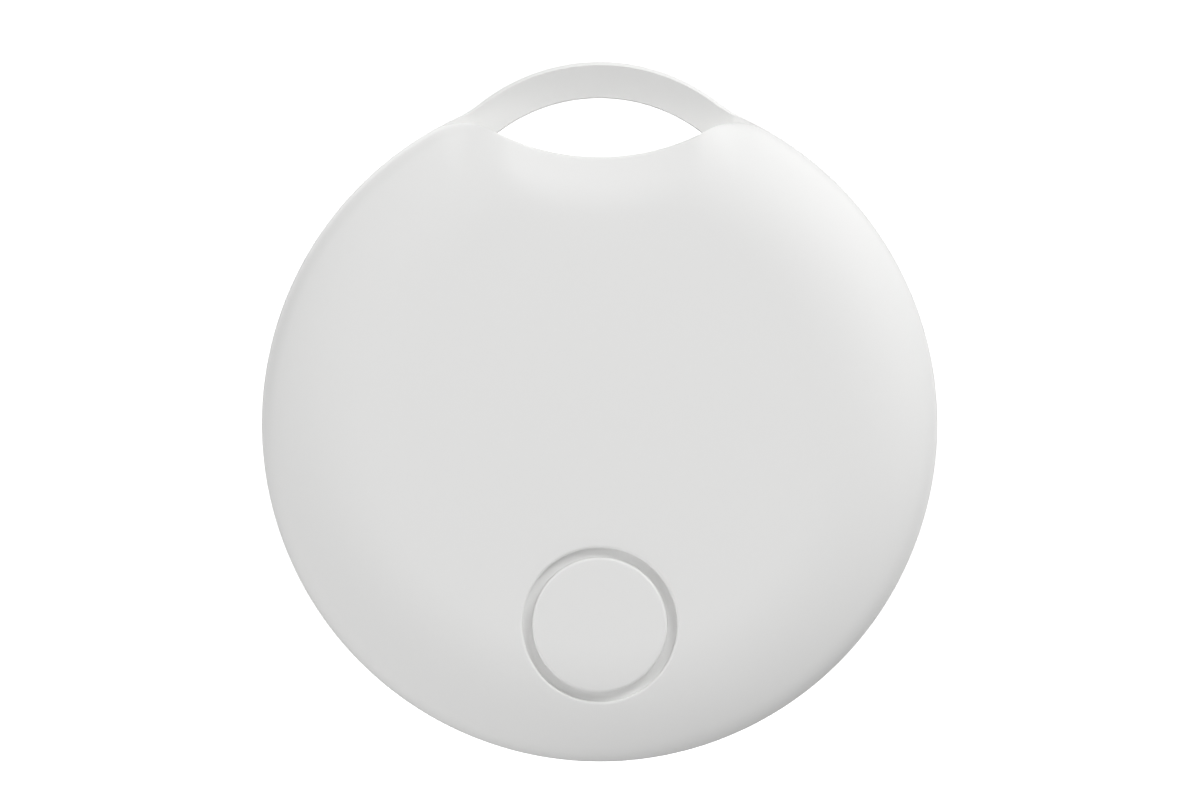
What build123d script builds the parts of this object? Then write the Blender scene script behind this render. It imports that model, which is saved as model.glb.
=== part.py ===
"""Bluetooth tracker tag: a round, domed, two-shell case with a carrying loop.

Frame: +Z up towards the loop, +X to the right and -Y towards the viewer when the tag is seen
from its domed front.  The origin is the disc's centre on the flat rear face.  A "height" below
is the distance forward of that rear face, so a point at height h has y = -h.
All sizes are in millimetres.
"""

import os
from math import atan2, cos, radians, sin, sqrt, tan

from build123d import *

os.makedirs("parts", exist_ok=True)

# --- Case: overall sizes -----------------------------------------------------------------------------
body_radius = 20.0  # radius of the round rear shell
parting_height = 3.2  # height at which the two shells meet
front_reveal = 0.06  # step from the rear shell's edge in to the front shell's edge
wall = 1.2  # wall of both shells
floor_thickness = 1.0  # floor of the rear shell
cut_margin = 1.0  # how far a cutting shape reaches past what it cuts
match_tolerance = 0.001  # within which an edge counts as lying on a bore

# --- Dome of the front shell: three tangent arcs, turned about the tag's axis ------------------------
crown_radius = 320.0  # the almost flat middle
brow_radius = 9.8  # where the face starts to fall away
rim_radius = 2.5  # the tight turn into the vertical rim
rim_land = 0.4  # straight wall between the parting plane and the rim arc

# --- Scoop that opens the top of the disc for the loop -----------------------------------------------
scoop_radius = 13.55
scoop_bite = 4.27  # how far the scoop reaches below the disc's top
scoop_roll = 2.4  # rounding of the dome's edge along the scoop
scoop_edge_drop = 0.2  # top of that rounding below the crown
shoulder_radius = 3.7  # rounded corner where the scoop meets the rim

# --- Tongue that centres the front shell in the rear shell -------------------------------------------
tongue_depth = 1.0
tongue_thickness = 0.7
tongue_clearance = 0.05
tongue_root = 0.3  # how far its root reaches into the front shell's wall

# --- Carrying loop, moulded with the rear shell ------------------------------------------------------
loop_rise = 1.44  # top of the loop above the disc's top
loop_outer_radius = 11.5
loop_inner_radius = 9.95
loop_band_width = 2.1  # width of the band at its top
loop_root_radius = 7.5  # hollow corner where the loop's outside meets the disc
loop_face_tilt = 12.0  # degrees that the band's front face leans towards the hole
rear_edge_radius = 0.9

# --- Button ------------------------------------------------------------------------------------------
button_drop = 11.8  # button's axis below the disc's centre
button_radius = 3.97
groove_width = 0.57  # ring-shaped groove around the cap
groove_depth = 0.45
button_clearance = 0.06  # cap to seal, radial
button_travel = 0.2
button_edge_radius = 0.22
button_flange_overlap = 0.4  # flange beyond the aperture, so the cap can't fall out
button_flange_thickness = 0.25
button_flange_drop = 0.15  # flange's front face behind the top of the switch's plunger
button_recess_radius = 3.1
button_pin_radius = 0.9
button_stop_gap = 0.05  # flange to the ledge above it
flange_side_gap = 0.12
collar_wall = 0.85  # ring that stiffens the shell around the flange

# --- Coin cell, 20 mm by 3.2 mm ----------------------------------------------------------------------
cell_radius = 10.0
cell_thickness = 3.2
cell_metal = 0.25
cell_crimp = 0.45  # how far the can's rim is rolled in over the gasket
cell_cap_step = 0.3  # the negative face stands proud of the crimp
cell_gasket_wall = 0.6
cell_edge_radius = 0.22
cell_cap_edge_radius = 0.15

# --- Battery door and its seal -----------------------------------------------------------------------
door_thickness = 0.9
door_recess = 0.05  # outer face lies this far inside the rear face
door_clearance = 0.05  # radial
gasket_wire_radius = 0.45
gasket_clearance = 0.02
door_lip_thickness = 0.5
door_cell_gap = 0.05  # cell to the door's inner face
door_ledge_gap = 0.05  # door's lip to the ledge in the rear shell
spigot_clearance = 0.3  # cell to the door's inner ring, radial
spigot_wall = 0.95
door_ledge_width = 0.55
door_ledge_height = 0.45
collar_thickness = 1.0
notch_radius = 2.6  # scallop that lets a nail or a coin under the door
notch_reach = 2.1  # beyond the door's edge
notch_depth = 0.5
door_bevel = 0.2
door_grip_length = 11.0
door_grip_width = 2.6
door_grip_depth = 0.35

# --- Circuit board and chassis -----------------------------------------------------------------------
contact_gap = 0.4  # cell to board, taken up by the negative spring
board_thickness = 0.8
board_inset = 3.7  # board's edge inside the body's edge
scoop_side_gap = 2.0  # board and chassis stay this far from the scoop
board_corner_radius = 1.0
chassis_cell_clearance = 0.2
chassis_pocket_inset = 1.4  # pocket's inner wall outside the chassis's bore
chassis_pocket_width = 1.2
chassis_pocket_floor = 0.6
chassis_rib_width = 1.2
chassis_rib_count = 8
window_width = 3.4  # opening in the chassis for each positive contact
window_reach = 3.0

# --- Contacts ----------------------------------------------------------------------------------------
sheet_thickness = 0.15
contact_touch = 0.02  # metal stands this far off the cell, its spring not drawn in
contact_width = 2.8
contact_drop = 1.3  # how far the positive leaf reaches down the can's side
foot_length = 2.4
spring_ring_outer = 3.4
spring_ring_inner = 1.6
finger_reach = 7.4
finger_width = 1.5
finger_tip = 0.8
finger_count = 3

# --- Screws ------------------------------------------------------------------------------------------
screw_angles = (25.0, 155.0, 225.0, 315.0)
screw_inset = 2.2  # screw's axis inside the board's edge
screw_thread_radius = 0.55
screw_head_radius = 1.1
screw_head_thickness = 0.45
screw_length = 3.4
screw_slot_length = 1.5
screw_slot_width = 0.3
screw_slot_depth = 0.25
screw_hole_clearance = 0.2
screw_pilot_clearance = 0.02
boss_wall = 0.8
boss_clearance = 0.15

# --- Sounder -----------------------------------------------------------------------------------------
sounder_gap = 0.49  # sounder's edge above the collar round the button
plate_radius = 8.8
plate_thickness = 0.15
ceramic_radius = 6.3
ceramic_thickness = 0.12
adhesive_thickness = 0.1
adhesive_width = 1.4
seat_drop = 0.3  # flat seat below the ceiling's crown
lead_radius = 0.15
lead_bend_radius = 0.18

# --- Push switch -------------------------------------------------------------------------------------
switch_width = 3.6
switch_corner_radius = 0.4
switch_height = 0.7
switch_base = 0.1
switch_cover = 0.15
switch_bore_radius = 0.75
switch_chamber_radius = 1.45
plunger_clearance = 0.05
plunger_proud = 0.3
plunger_flange_radius = 1.1
plunger_flange_thickness = 0.1
plunger_flange_gap = 0.03
snap_disc_sheet = 0.04
snap_disc_rise = 0.05

# --- Parts soldered to the board's front: width along X, depth along Z, height, corner radius --------
part_height = 0.6  # tallest of them
part_clearance = 0.13  # between that and the sounder
radio_chip_size = (5.0, 5.0, part_height, 0.15)
capacitor_size = (0.5, 1.0, 0.5, 0.0)
resistor_size = (1.0, 0.5, 0.35, 0.0)
main_crystal_size = (2.0, 1.6, 0.5, 0.2)
clock_crystal_size = (1.5, 3.2, part_height, 0.2)
motion_sensor_size = (2.0, 2.0, part_height, 0.1)
inductor_size = (2.5, 2.0, part_height, 0.3)
driver_size = (2.9, 1.3, part_height, 0.1)
antenna_size = (1.6, 3.2, part_height, 0.0)
edge_part_inset = 3.1  # centres of the antenna and the clock crystal inside the board's edge
radio_chip_place = (-8.5, -1.0)
capacitor_pitch = 1.5
capacitor_row = 3.5  # rows above and below the radio chip's centre
resistor_column = 4.0
resistor_pitch = 1.2
main_crystal_place = (-8.5, -6.8)
clock_crystal_rise = -1.0
motion_sensor_place = (8.5, 4.0)
inductor_place = (9.6, -1.8)
driver_place = (7.4, -6.2)
antenna_rise = -2.6

# --- Places worked out from the sizes above ----------------------------------------------------------
door_inner = door_recess + door_thickness
cell_base = door_inner + door_cell_gap
cell_top = cell_base + cell_thickness
board_rear = cell_top + contact_gap
board_front = board_rear + board_thickness
ceramic_base = board_front + part_height + part_clearance
plate_base = ceramic_base + ceramic_thickness
adhesive_base = plate_base + plate_thickness
seat_height = adhesive_base + adhesive_thickness
body_thickness = seat_height + seat_drop + wall  # rear face to the crown of the dome

front_radius = body_radius - front_reveal
rim_height = parting_height + rim_land
scoop_centre = body_radius - scoop_bite + scoop_radius
loop_top = body_radius + loop_rise
loop_outer_centre = loop_top - loop_outer_radius
loop_inner_centre = loop_top - loop_band_width - loop_inner_radius

spigot_inner_radius = cell_radius + spigot_clearance
spigot_outer_radius = spigot_inner_radius + spigot_wall
gasket_centre_radius = spigot_outer_radius + gasket_wire_radius
door_bore_radius = gasket_centre_radius + gasket_wire_radius + gasket_clearance
door_radius = door_bore_radius - door_clearance
door_lip_base = door_inner + 2 * gasket_wire_radius + gasket_clearance
door_lip_top = door_lip_base + door_lip_thickness
collar_outer_radius = door_bore_radius + collar_thickness
ledge_base = door_lip_top + door_ledge_gap
ledge_top = ledge_base + door_ledge_height

chassis_base = ledge_top
chassis_bore_radius = cell_radius + chassis_cell_clearance
pocket_inner_radius = chassis_bore_radius + chassis_pocket_inset
pocket_outer_radius = pocket_inner_radius + chassis_pocket_width
board_radius = body_radius - board_inset
screw_ring_radius = board_radius - screw_inset
boss_radius = screw_thread_radius + boss_wall
boss_top = board_rear

aperture_radius = button_radius + groove_width
flange_radius = aperture_radius + button_flange_overlap
flange_pocket_radius = flange_radius + flange_side_gap
collar_ring_radius = flange_pocket_radius + collar_wall
switch_top = board_front + switch_height
plunger_top = switch_top + plunger_proud
flange_top = plunger_top - button_flange_drop
flange_base = flange_top - button_flange_thickness
pocket_ceiling = flange_top + button_stop_gap
recess_ceiling = plunger_top + button_travel
piezo_rise = -button_drop + collar_ring_radius + sounder_gap + plate_radius

# centre of the hollow corner between the disc and the loop, on the right-hand side
root_to_body = body_radius + loop_root_radius
root_to_loop = loop_outer_radius + loop_root_radius
loop_root_height = (root_to_body**2 - root_to_loop**2 + loop_outer_centre**2) / (2 * loop_outer_centre)
loop_root = (sqrt(root_to_body**2 - loop_root_height**2), loop_root_height)

screw_places = [
    (screw_ring_radius * cos(radians(angle)), screw_ring_radius * sin(radians(angle)))
    for angle in screw_angles
]
button_place = (0, -button_drop)
piezo_place = (0, piezo_rise)


def face_plane(height):
    """Plane parallel to the rear face: local x is +X, local y is +Z, and it faces the front."""
    return Plane.XZ.offset(height)


def brow_centre():
    """Centre (radius, height) of the arc that touches the crown arc and the rim arc."""
    crown = Vector(0, body_thickness - crown_radius)
    rim = Vector(front_radius - rim_radius, rim_height)
    to_rim = rim - crown
    span = to_rim.length
    from_crown = crown_radius - brow_radius
    from_rim = brow_radius - rim_radius
    along = (span**2 + from_crown**2 - from_rim**2) / (2 * span)
    aside = sqrt(from_crown**2 - along**2)
    unit = to_rim.normalized()
    return crown + unit * along + Vector(-unit.Y, unit.X) * aside


def arc_middle(centre, radius, start_angle, end_angle):
    """Point half way round an arc, given its centre, radius and end angles in radians."""
    angle = (start_angle + end_angle) / 2
    return centre + Vector(cos(angle), sin(angle)) * radius


def dome(inset, lift=0.0):
    """Solid of revolution under the dome, from the rear plane up.

    inset moves the whole surface inwards along its normal, and lift raises it afterwards.
    """
    crown = Vector(0, body_thickness - crown_radius)
    rim = Vector(front_radius - rim_radius, rim_height)
    brow = brow_centre()
    crown_angle = atan2(brow.Y - crown.Y, brow.X - crown.X)
    rim_angle = atan2(rim.Y - brow.Y, rim.X - brow.X)
    upright = radians(90)
    arcs = [
        (crown, crown_radius - inset, upright, crown_angle),
        (brow, brow_radius - inset, crown_angle, rim_angle),
        (rim, rim_radius - inset, rim_angle, 0.0),
    ]
    with BuildPart() as turned:
        with BuildSketch(Plane.XY):
            with BuildLine():
                for centre, radius, start_angle, end_angle in arcs:
                    start = centre + Vector(cos(start_angle), sin(start_angle)) * radius
                    middle = arc_middle(centre, radius, start_angle, end_angle)
                    end = centre + Vector(cos(end_angle), sin(end_angle)) * radius
                    ThreePointArc(
                        (start.X, -start.Y - lift),
                        (middle.X, -middle.Y - lift),
                        (end.X, -end.Y - lift),
                    )
                top = body_thickness - inset + lift
                side = front_radius - inset
                Polyline((side, -rim_height - lift), (side, 0), (0, 0), (0, -top))
            make_face()
        revolve(axis=Axis.Y)
    return turned.part


def front_outline(inset, height):
    """Front shell's outline, a disc with the scoop taken out, moved in and placed at a height."""
    with BuildSketch(face_plane(height)) as outline:
        Circle(front_radius - inset)
        with Locations((0, scoop_centre)):
            Circle(scoop_radius + inset, mode=Mode.SUBTRACT)
        fillet(outline.vertices().sort_by(Axis.Y)[-2:], radius=shoulder_radius - inset)
    return outline.sketch


def outline_ring(outer_inset, inner_inset, base, top):
    """Wall that follows the front shell's outline between two insets and two heights."""
    with BuildPart() as ring:
        extrude(front_outline(outer_inset, base), amount=top - base)
        extrude(front_outline(inner_inset, base), amount=top - base, mode=Mode.SUBTRACT)
    return ring.part


def rim_edges(builder, place, radius, above):
    """Edges that run round an upright bore or boss at a place, forward of a height."""
    found = []
    for edge in builder.edges():
        points = [edge @ share for share in (0, 0.25, 0.5, 0.75, 1)]
        on_bore = all(
            abs(Vector(point.X - place[0], point.Z - place[1]).length - radius) < match_tolerance
            for point in points
        )
        moves_round = Vector(points[0].X - points[1].X, points[0].Z - points[1].Z).length > match_tolerance
        if on_bore and moves_round and all(-point.Y > above + match_tolerance for point in points):
            found.append(edge)
    return found


def finish(builder, name):
    """Label a finished piece and write it out under its own name."""
    builder.part.label = name
    export_step(builder.part, f"parts/{name}.step")


# --- Front shell -------------------------------------------------------------------------------------
with BuildPart() as scoop_edge:
    # everything above the rounded edge that runs along the scoop
    edge_top = body_thickness - scoop_edge_drop
    with BuildSketch(Plane.YZ):
        with BuildLine():
            edge_wall = (-(edge_top - scoop_roll), scoop_centre - scoop_radius)
            edge_face = (-edge_top, scoop_centre - scoop_radius - scoop_roll)
            RadiusArc(edge_wall, edge_face, -scoop_roll)
            Polyline(
                edge_face,
                (-body_thickness - cut_margin, edge_face[1]),
                (-body_thickness - cut_margin, edge_wall[1] + cut_margin),
                (edge_wall[0], edge_wall[1] + cut_margin),
                edge_wall,
            )
        make_face()
    revolve(axis=Axis((0, 0, scoop_centre), (0, 1, 0)))

with BuildPart() as front_cavity:
    extrude(front_outline(wall, parting_height), amount=body_thickness)
    add(dome(wall), mode=Mode.INTERSECT)
    with BuildSketch(face_plane(pocket_ceiling)):
        with Locations(button_place):
            Circle(collar_ring_radius)
    extrude(amount=body_thickness, mode=Mode.SUBTRACT)
    with BuildSketch(face_plane(seat_height)):
        with Locations(piezo_place):
            Circle(plate_radius)
            Circle(plate_radius - adhesive_width, mode=Mode.SUBTRACT)
    extrude(amount=body_thickness, mode=Mode.SUBTRACT)

with BuildPart() as front_shell:
    extrude(front_outline(0, parting_height), amount=body_thickness)
    add(dome(0), mode=Mode.INTERSECT)
    add(scoop_edge.part, mode=Mode.SUBTRACT)
    add(front_cavity.part, mode=Mode.SUBTRACT)
    add(
        outline_ring(
            wall + tongue_clearance,
            wall + tongue_clearance + tongue_thickness,
            parting_height - tongue_depth,
            parting_height,
        )
    )
    add(
        outline_ring(
            wall - tongue_root,
            wall + tongue_clearance + tongue_thickness,
            parting_height,
            parting_height + rim_land,
        )
    )
    with BuildSketch(face_plane(parting_height)):
        with Locations(button_place):
            Circle(flange_pocket_radius)
    extrude(amount=pocket_ceiling - parting_height, mode=Mode.SUBTRACT)
    with BuildSketch(face_plane(pocket_ceiling)):
        with Locations(button_place):
            Circle(aperture_radius)
    extrude(amount=body_thickness, mode=Mode.SUBTRACT)
    fillet(rim_edges(front_shell, button_place, aperture_radius, pocket_ceiling), button_edge_radius)
finish(front_shell, "front_shell")

# --- Rear shell with its loop ------------------------------------------------------------------------
with BuildPart() as band_face:
    # everything in front of the band's slanted face, a shallow cone about the loop's own axis
    face_rise = loop_outer_radius * tan(radians(loop_face_tilt))
    with BuildSketch(Plane.XY.offset(loop_outer_centre)):
        Polygon(
            (0, -(parting_height - face_rise)),
            (loop_outer_radius, -parting_height),
            (2 * loop_outer_radius, -parting_height),
            (2 * loop_outer_radius, -body_thickness),
            (0, -body_thickness),
            align=None,
        )
    revolve(axis=Axis((0, 0, loop_outer_centre), (0, 1, 0)))

with BuildPart() as loop_hole:
    with BuildSketch(face_plane(0)):
        with Locations((0, loop_inner_centre)):
            Circle(loop_inner_radius)
        with Locations((0, scoop_centre)):
            Circle(scoop_radius, mode=Mode.INTERSECT)
    extrude(amount=body_thickness)

with BuildPart() as rear_shell:
    with BuildSketch(face_plane(0)):
        Circle(body_radius)
        with Locations((0, loop_outer_centre)):
            Circle(loop_outer_radius)
        for side in (-1, 1):
            root = (side * loop_root[0], loop_root[1])
            Polygon((0, 0), root, (0, loop_outer_centre), align=None)
            with Locations(root):
                Circle(loop_root_radius, mode=Mode.SUBTRACT)
    extrude(amount=parting_height)
    add(band_face.part, mode=Mode.SUBTRACT)
    extrude(front_outline(0, 0), amount=parting_height)
    add(loop_hole.part, mode=Mode.SUBTRACT)
    rear_face = rear_shell.faces().filter_by(Axis.Y).sort_by(Axis.Y)[-1]
    fillet(rear_face.outer_wire().edges(), radius=rear_edge_radius)
    # room for the works
    extrude(front_outline(wall, floor_thickness), amount=body_thickness, mode=Mode.SUBTRACT)
    # collar that takes the battery door's seal
    with BuildSketch(face_plane(0)):
        Circle(collar_outer_radius)
        Circle(door_bore_radius, mode=Mode.SUBTRACT)
    extrude(amount=ledge_top)
    with BuildSketch(face_plane(0)):
        Circle(door_bore_radius)
    extrude(amount=floor_thickness, mode=Mode.SUBTRACT)
    # ledge that the door's lip rests on
    with BuildSketch(face_plane(ledge_base)):
        Circle(door_bore_radius)
        Circle(door_bore_radius - door_ledge_width, mode=Mode.SUBTRACT)
    extrude(amount=door_ledge_height)
    # posts that the board is screwed down to
    with BuildSketch(face_plane(floor_thickness)):
        with Locations(screw_places):
            Circle(boss_radius)
    extrude(amount=boss_top - floor_thickness)
    with BuildSketch(face_plane(boss_top)):
        with Locations(screw_places):
            Circle(screw_thread_radius + screw_pilot_clearance)
    extrude(amount=-(screw_length - board_thickness + screw_pilot_clearance), mode=Mode.SUBTRACT)
    # scallop for a fingernail or a coin at the door's lower edge
    with BuildSketch(face_plane(0)):
        with Locations((0, -(door_radius + notch_reach - notch_radius))):
            Circle(notch_radius)
        Circle(door_radius - notch_reach, mode=Mode.SUBTRACT)
    extrude(amount=notch_depth, mode=Mode.SUBTRACT)
finish(rear_shell, "rear_shell")

# --- Battery door and its sealing ring ---------------------------------------------------------------
with BuildPart() as battery_door:
    with BuildSketch(face_plane(door_recess)):
        Circle(door_radius)
    extrude(amount=door_thickness)
    chamfer(battery_door.edges().group_by(Axis.Y)[-1], length=door_bevel)
    with BuildSketch(face_plane(door_inner)):
        Circle(spigot_outer_radius)
        Circle(spigot_inner_radius, mode=Mode.SUBTRACT)
    extrude(amount=door_lip_base - door_inner)
    with BuildSketch(face_plane(door_lip_base)):
        Circle(door_radius)
        Circle(spigot_inner_radius, mode=Mode.SUBTRACT)
    extrude(amount=door_lip_thickness)
    # shallow dished grip across the outer face
    with BuildSketch(Plane.XZ.offset(door_recess)):
        SlotOverall(door_grip_length, door_grip_width)
    extrude(amount=door_grip_depth, mode=Mode.SUBTRACT)
finish(battery_door, "battery_door")

with BuildPart() as door_gasket:
    with BuildSketch(Plane.XY):
        with Locations((gasket_centre_radius, -(door_inner + gasket_wire_radius))):
            Circle(gasket_wire_radius)
    revolve(axis=Axis.Y)
finish(door_gasket, "door_gasket")

# --- Coin cell: can, moulded gasket and cap ----------------------------------------------------------
crimp_height = cell_top - cell_cap_step
crimp_radius = cell_radius - cell_metal - cell_crimp
cap_rim_radius = cell_radius - cell_metal - cell_gasket_wall
cap_face_radius = crimp_radius - cell_crimp

with BuildPart() as cell_can:
    with BuildSketch(face_plane(cell_base)):
        Circle(cell_radius)
    extrude(amount=crimp_height - cell_base)
    fillet(cell_can.edges().filter_by(GeomType.CIRCLE), radius=cell_edge_radius)
    with BuildSketch(face_plane(cell_base + cell_metal)):
        Circle(cell_radius - cell_metal)
    extrude(amount=crimp_height - cell_base - 2 * cell_metal, mode=Mode.SUBTRACT)
    with BuildSketch(face_plane(crimp_height)):
        Circle(crimp_radius)
    extrude(amount=-2 * cell_metal, mode=Mode.SUBTRACT)
finish(cell_can, "cell_can")

with BuildPart() as cell_gasket:
    with BuildSketch(face_plane(cell_base + cell_metal)):
        Circle(cell_radius - cell_metal)
        Circle(cap_rim_radius, mode=Mode.SUBTRACT)
    extrude(amount=crimp_height - cell_base - 2 * cell_metal)
finish(cell_gasket, "cell_gasket")

with BuildPart() as cell_cap:
    with BuildSketch(face_plane(cell_base + cell_metal)):
        Circle(cap_rim_radius)
    extrude(amount=crimp_height - cell_base - 2 * cell_metal)
    with BuildSketch(face_plane(crimp_height - cell_metal)):
        Circle(cap_face_radius)
    extrude(amount=cell_top - crimp_height + cell_metal)
    fillet(cell_cap.edges().group_by(Axis.Y)[0], radius=cell_cap_edge_radius)
finish(cell_cap, "cell_cap")

# --- Chassis: centres the cell and carries the board -------------------------------------------------

def board_outline(height):
    """Board's outline: a disc with room left for the scoop."""
    with BuildSketch(face_plane(height)) as outline:
        Circle(board_radius)
        with Locations((0, scoop_centre)):
            Circle(scoop_radius + scoop_side_gap, mode=Mode.SUBTRACT)
        fillet(outline.vertices().sort_by(Axis.Y)[-2:], radius=board_corner_radius)
    return outline.sketch


with BuildPart() as battery_chassis:
    extrude(board_outline(chassis_base), amount=board_rear - chassis_base)
    with BuildSketch(face_plane(chassis_base)):
        Circle(chassis_bore_radius)
        with Locations(screw_places):
            Circle(boss_radius + boss_clearance)
        for side in (-1, 1):
            with Locations((side * (cell_radius + window_reach / 2), 0)):
                Rectangle(window_reach, window_width)
    extrude(amount=body_thickness, mode=Mode.SUBTRACT)
    # weight-saving pocket, cut by ribs
    with BuildSketch(face_plane(chassis_base + chassis_pocket_floor)):
        Circle(pocket_outer_radius)
        Circle(pocket_inner_radius, mode=Mode.SUBTRACT)
        with PolarLocations(0, chassis_rib_count):
            Rectangle(2 * pocket_outer_radius, chassis_rib_width, mode=Mode.SUBTRACT)
    extrude(amount=body_thickness, mode=Mode.SUBTRACT)
finish(battery_chassis, "battery_chassis")

# --- Contacts ----------------------------------------------------------------------------------------
with BuildPart() as positive_contacts:
    for side in (-1, 1):
        leaf_inside = cell_radius + contact_touch
        with BuildSketch(Plane.XY.offset(-contact_width / 2)):
            with Locations((side * (leaf_inside + sheet_thickness / 2), -(board_rear - contact_drop / 2))):
                Rectangle(sheet_thickness, contact_drop)
            with Locations((side * (leaf_inside + foot_length / 2), -(board_rear - sheet_thickness / 2))):
                Rectangle(foot_length, sheet_thickness)
        extrude(amount=contact_width)
finish(positive_contacts, "positive_contacts")

ring_low = board_rear - sheet_thickness
tip_low = cell_top + contact_touch
finger_end = finger_reach + finger_tip

with BuildPart() as contact_finger:
    with BuildSketch(Plane.XY.offset(-finger_width / 2)):
        Polygon(
            (spring_ring_outer - finger_tip, -board_rear),
            (spring_ring_outer, -board_rear),
            (finger_reach, -(tip_low + sheet_thickness)),
            (finger_end, -(tip_low + 2 * sheet_thickness)),
            (finger_end, -(tip_low + sheet_thickness)),
            (finger_reach, -tip_low),
            (spring_ring_outer, -ring_low),
            (spring_ring_outer - finger_tip, -ring_low),
            align=None,
        )
    extrude(amount=finger_width)

with BuildPart() as negative_contact:
    with BuildSketch(face_plane(ring_low)):
        Circle(spring_ring_outer)
        Circle(spring_ring_inner, mode=Mode.SUBTRACT)
    extrude(amount=sheet_thickness)
    for turn in range(finger_count):
        add(contact_finger.part.rotate(Axis.Y, turn * 360 / finger_count))
finish(negative_contact, "negative_contact")

# --- Board and screws --------------------------------------------------------------------------------
with BuildPart() as main_board:
    extrude(board_outline(board_rear), amount=board_thickness)
    with BuildSketch(face_plane(board_rear)):
        with Locations(screw_places):
            Circle(screw_thread_radius + screw_hole_clearance)
    extrude(amount=board_thickness, mode=Mode.SUBTRACT)
finish(main_board, "main_board")

with BuildPart() as board_screws:
    with BuildSketch(face_plane(board_front - screw_length)):
        with Locations(screw_places):
            Circle(screw_thread_radius)
    extrude(amount=screw_length)
    with BuildSketch(face_plane(board_front)):
        with Locations(screw_places):
            Circle(screw_head_radius)
    extrude(amount=screw_head_thickness)
    with BuildSketch(face_plane(board_front + screw_head_thickness)):
        with Locations(screw_places):
            Rectangle(screw_slot_length, screw_slot_width)
            Rectangle(screw_slot_width, screw_slot_length)
    extrude(amount=-screw_slot_depth, mode=Mode.SUBTRACT)
finish(board_screws, "board_screws")


def chips(name, places, size):
    """Write a group of equal rectangular parts that stand on the board's front face."""
    width, depth, height, corner = size
    with BuildPart() as group:
        with BuildSketch(face_plane(board_front)):
            with Locations(places):
                Rectangle(width, depth)
        extrude(amount=height)
        if corner:
            fillet(group.edges().filter_by(Axis.Y), radius=corner)
    finish(group, name)


capacitor_places = [
    (radio_chip_place[0] + capacitor_pitch * column, radio_chip_place[1] + capacitor_row * row)
    for row in (-1, 1)
    for column in (-1.5, -0.5, 0.5, 1.5)
]
resistor_places = [(resistor_column, resistor_pitch * row) for row in (-2, -1, 0, 1, 2)]
chips("radio_chip", [radio_chip_place], radio_chip_size)
chips("chip_capacitors", capacitor_places, capacitor_size)
chips("chip_resistors", resistor_places, resistor_size)
chips("main_crystal", [main_crystal_place], main_crystal_size)
chips("clock_crystal", [(-(board_radius - edge_part_inset), clock_crystal_rise)], clock_crystal_size)
chips("motion_sensor", [motion_sensor_place], motion_sensor_size)
chips("power_inductor", [inductor_place], inductor_size)
chips("sounder_driver", [driver_place], driver_size)
chips("chip_antenna", [(board_radius - edge_part_inset, antenna_rise)], antenna_size)

# --- Sounder bonded to the dome's ceiling ------------------------------------------------------------
with BuildPart() as sounder_adhesive:
    with BuildSketch(face_plane(adhesive_base)):
        with Locations(piezo_place):
            Circle(plate_radius)
            Circle(plate_radius - adhesive_width, mode=Mode.SUBTRACT)
    extrude(amount=adhesive_thickness)
finish(sounder_adhesive, "sounder_adhesive")

with BuildPart() as sounder_plate:
    with BuildSketch(face_plane(plate_base)):
        with Locations(piezo_place):
            Circle(plate_radius)
    extrude(amount=plate_thickness)
finish(sounder_plate, "sounder_plate")

with BuildPart() as sounder_ceramic:
    with BuildSketch(face_plane(ceramic_base)):
        with Locations(piezo_place):
            Circle(ceramic_radius)
    extrude(amount=ceramic_thickness)
finish(sounder_ceramic, "sounder_ceramic")

# each lead: its solder spot on the disc, its pad on the board, and the height it leaves from
lead_ends = [
    ((7.6, 6.6), (10.4, 8.4), plate_base),
    ((5.0, 6.2), (8.6, 9.8), ceramic_base),
]

with BuildPart() as sounder_leads:
    for spot, pad, top in lead_ends:
        level = (top + board_front) / 2
        with BuildLine() as lead_path:
            FilletPolyline(
                (spot[0], -top, spot[1]),
                (spot[0], -level, spot[1]),
                (pad[0], -level, pad[1]),
                (pad[0], -board_front, pad[1]),
                radius=lead_bend_radius,
            )
        with BuildSketch(Plane((spot[0], -top, spot[1]), z_dir=(0, 1, 0))):
            Circle(lead_radius)
        sweep(path=lead_path.line)
finish(sounder_leads, "sounder_leads")

# --- Push switch -------------------------------------------------------------------------------------
chamber_base = board_front + switch_base
chamber_top = switch_top - switch_cover
plunger_flange_top = chamber_top - plunger_flange_gap

with BuildPart() as switch_housing:
    with BuildSketch(face_plane(board_front)):
        with Locations(button_place):
            RectangleRounded(switch_width, switch_width, switch_corner_radius)
    extrude(amount=switch_height)
    with BuildSketch(face_plane(chamber_base)):
        with Locations(button_place):
            Circle(switch_chamber_radius)
    extrude(amount=chamber_top - chamber_base, mode=Mode.SUBTRACT)
    with BuildSketch(face_plane(chamber_top)):
        with Locations(button_place):
            Circle(switch_bore_radius)
    extrude(amount=2 * switch_cover, mode=Mode.SUBTRACT)
finish(switch_housing, "switch_housing")

with BuildPart() as switch_plunger:
    with BuildSketch(face_plane(plunger_flange_top - plunger_flange_thickness)):
        with Locations(button_place):
            Circle(plunger_flange_radius)
    extrude(amount=plunger_flange_thickness)
    with BuildSketch(face_plane(plunger_flange_top)):
        with Locations(button_place):
            Circle(switch_bore_radius - plunger_clearance)
    extrude(amount=plunger_top - plunger_flange_top)
finish(switch_plunger, "switch_plunger")

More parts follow.
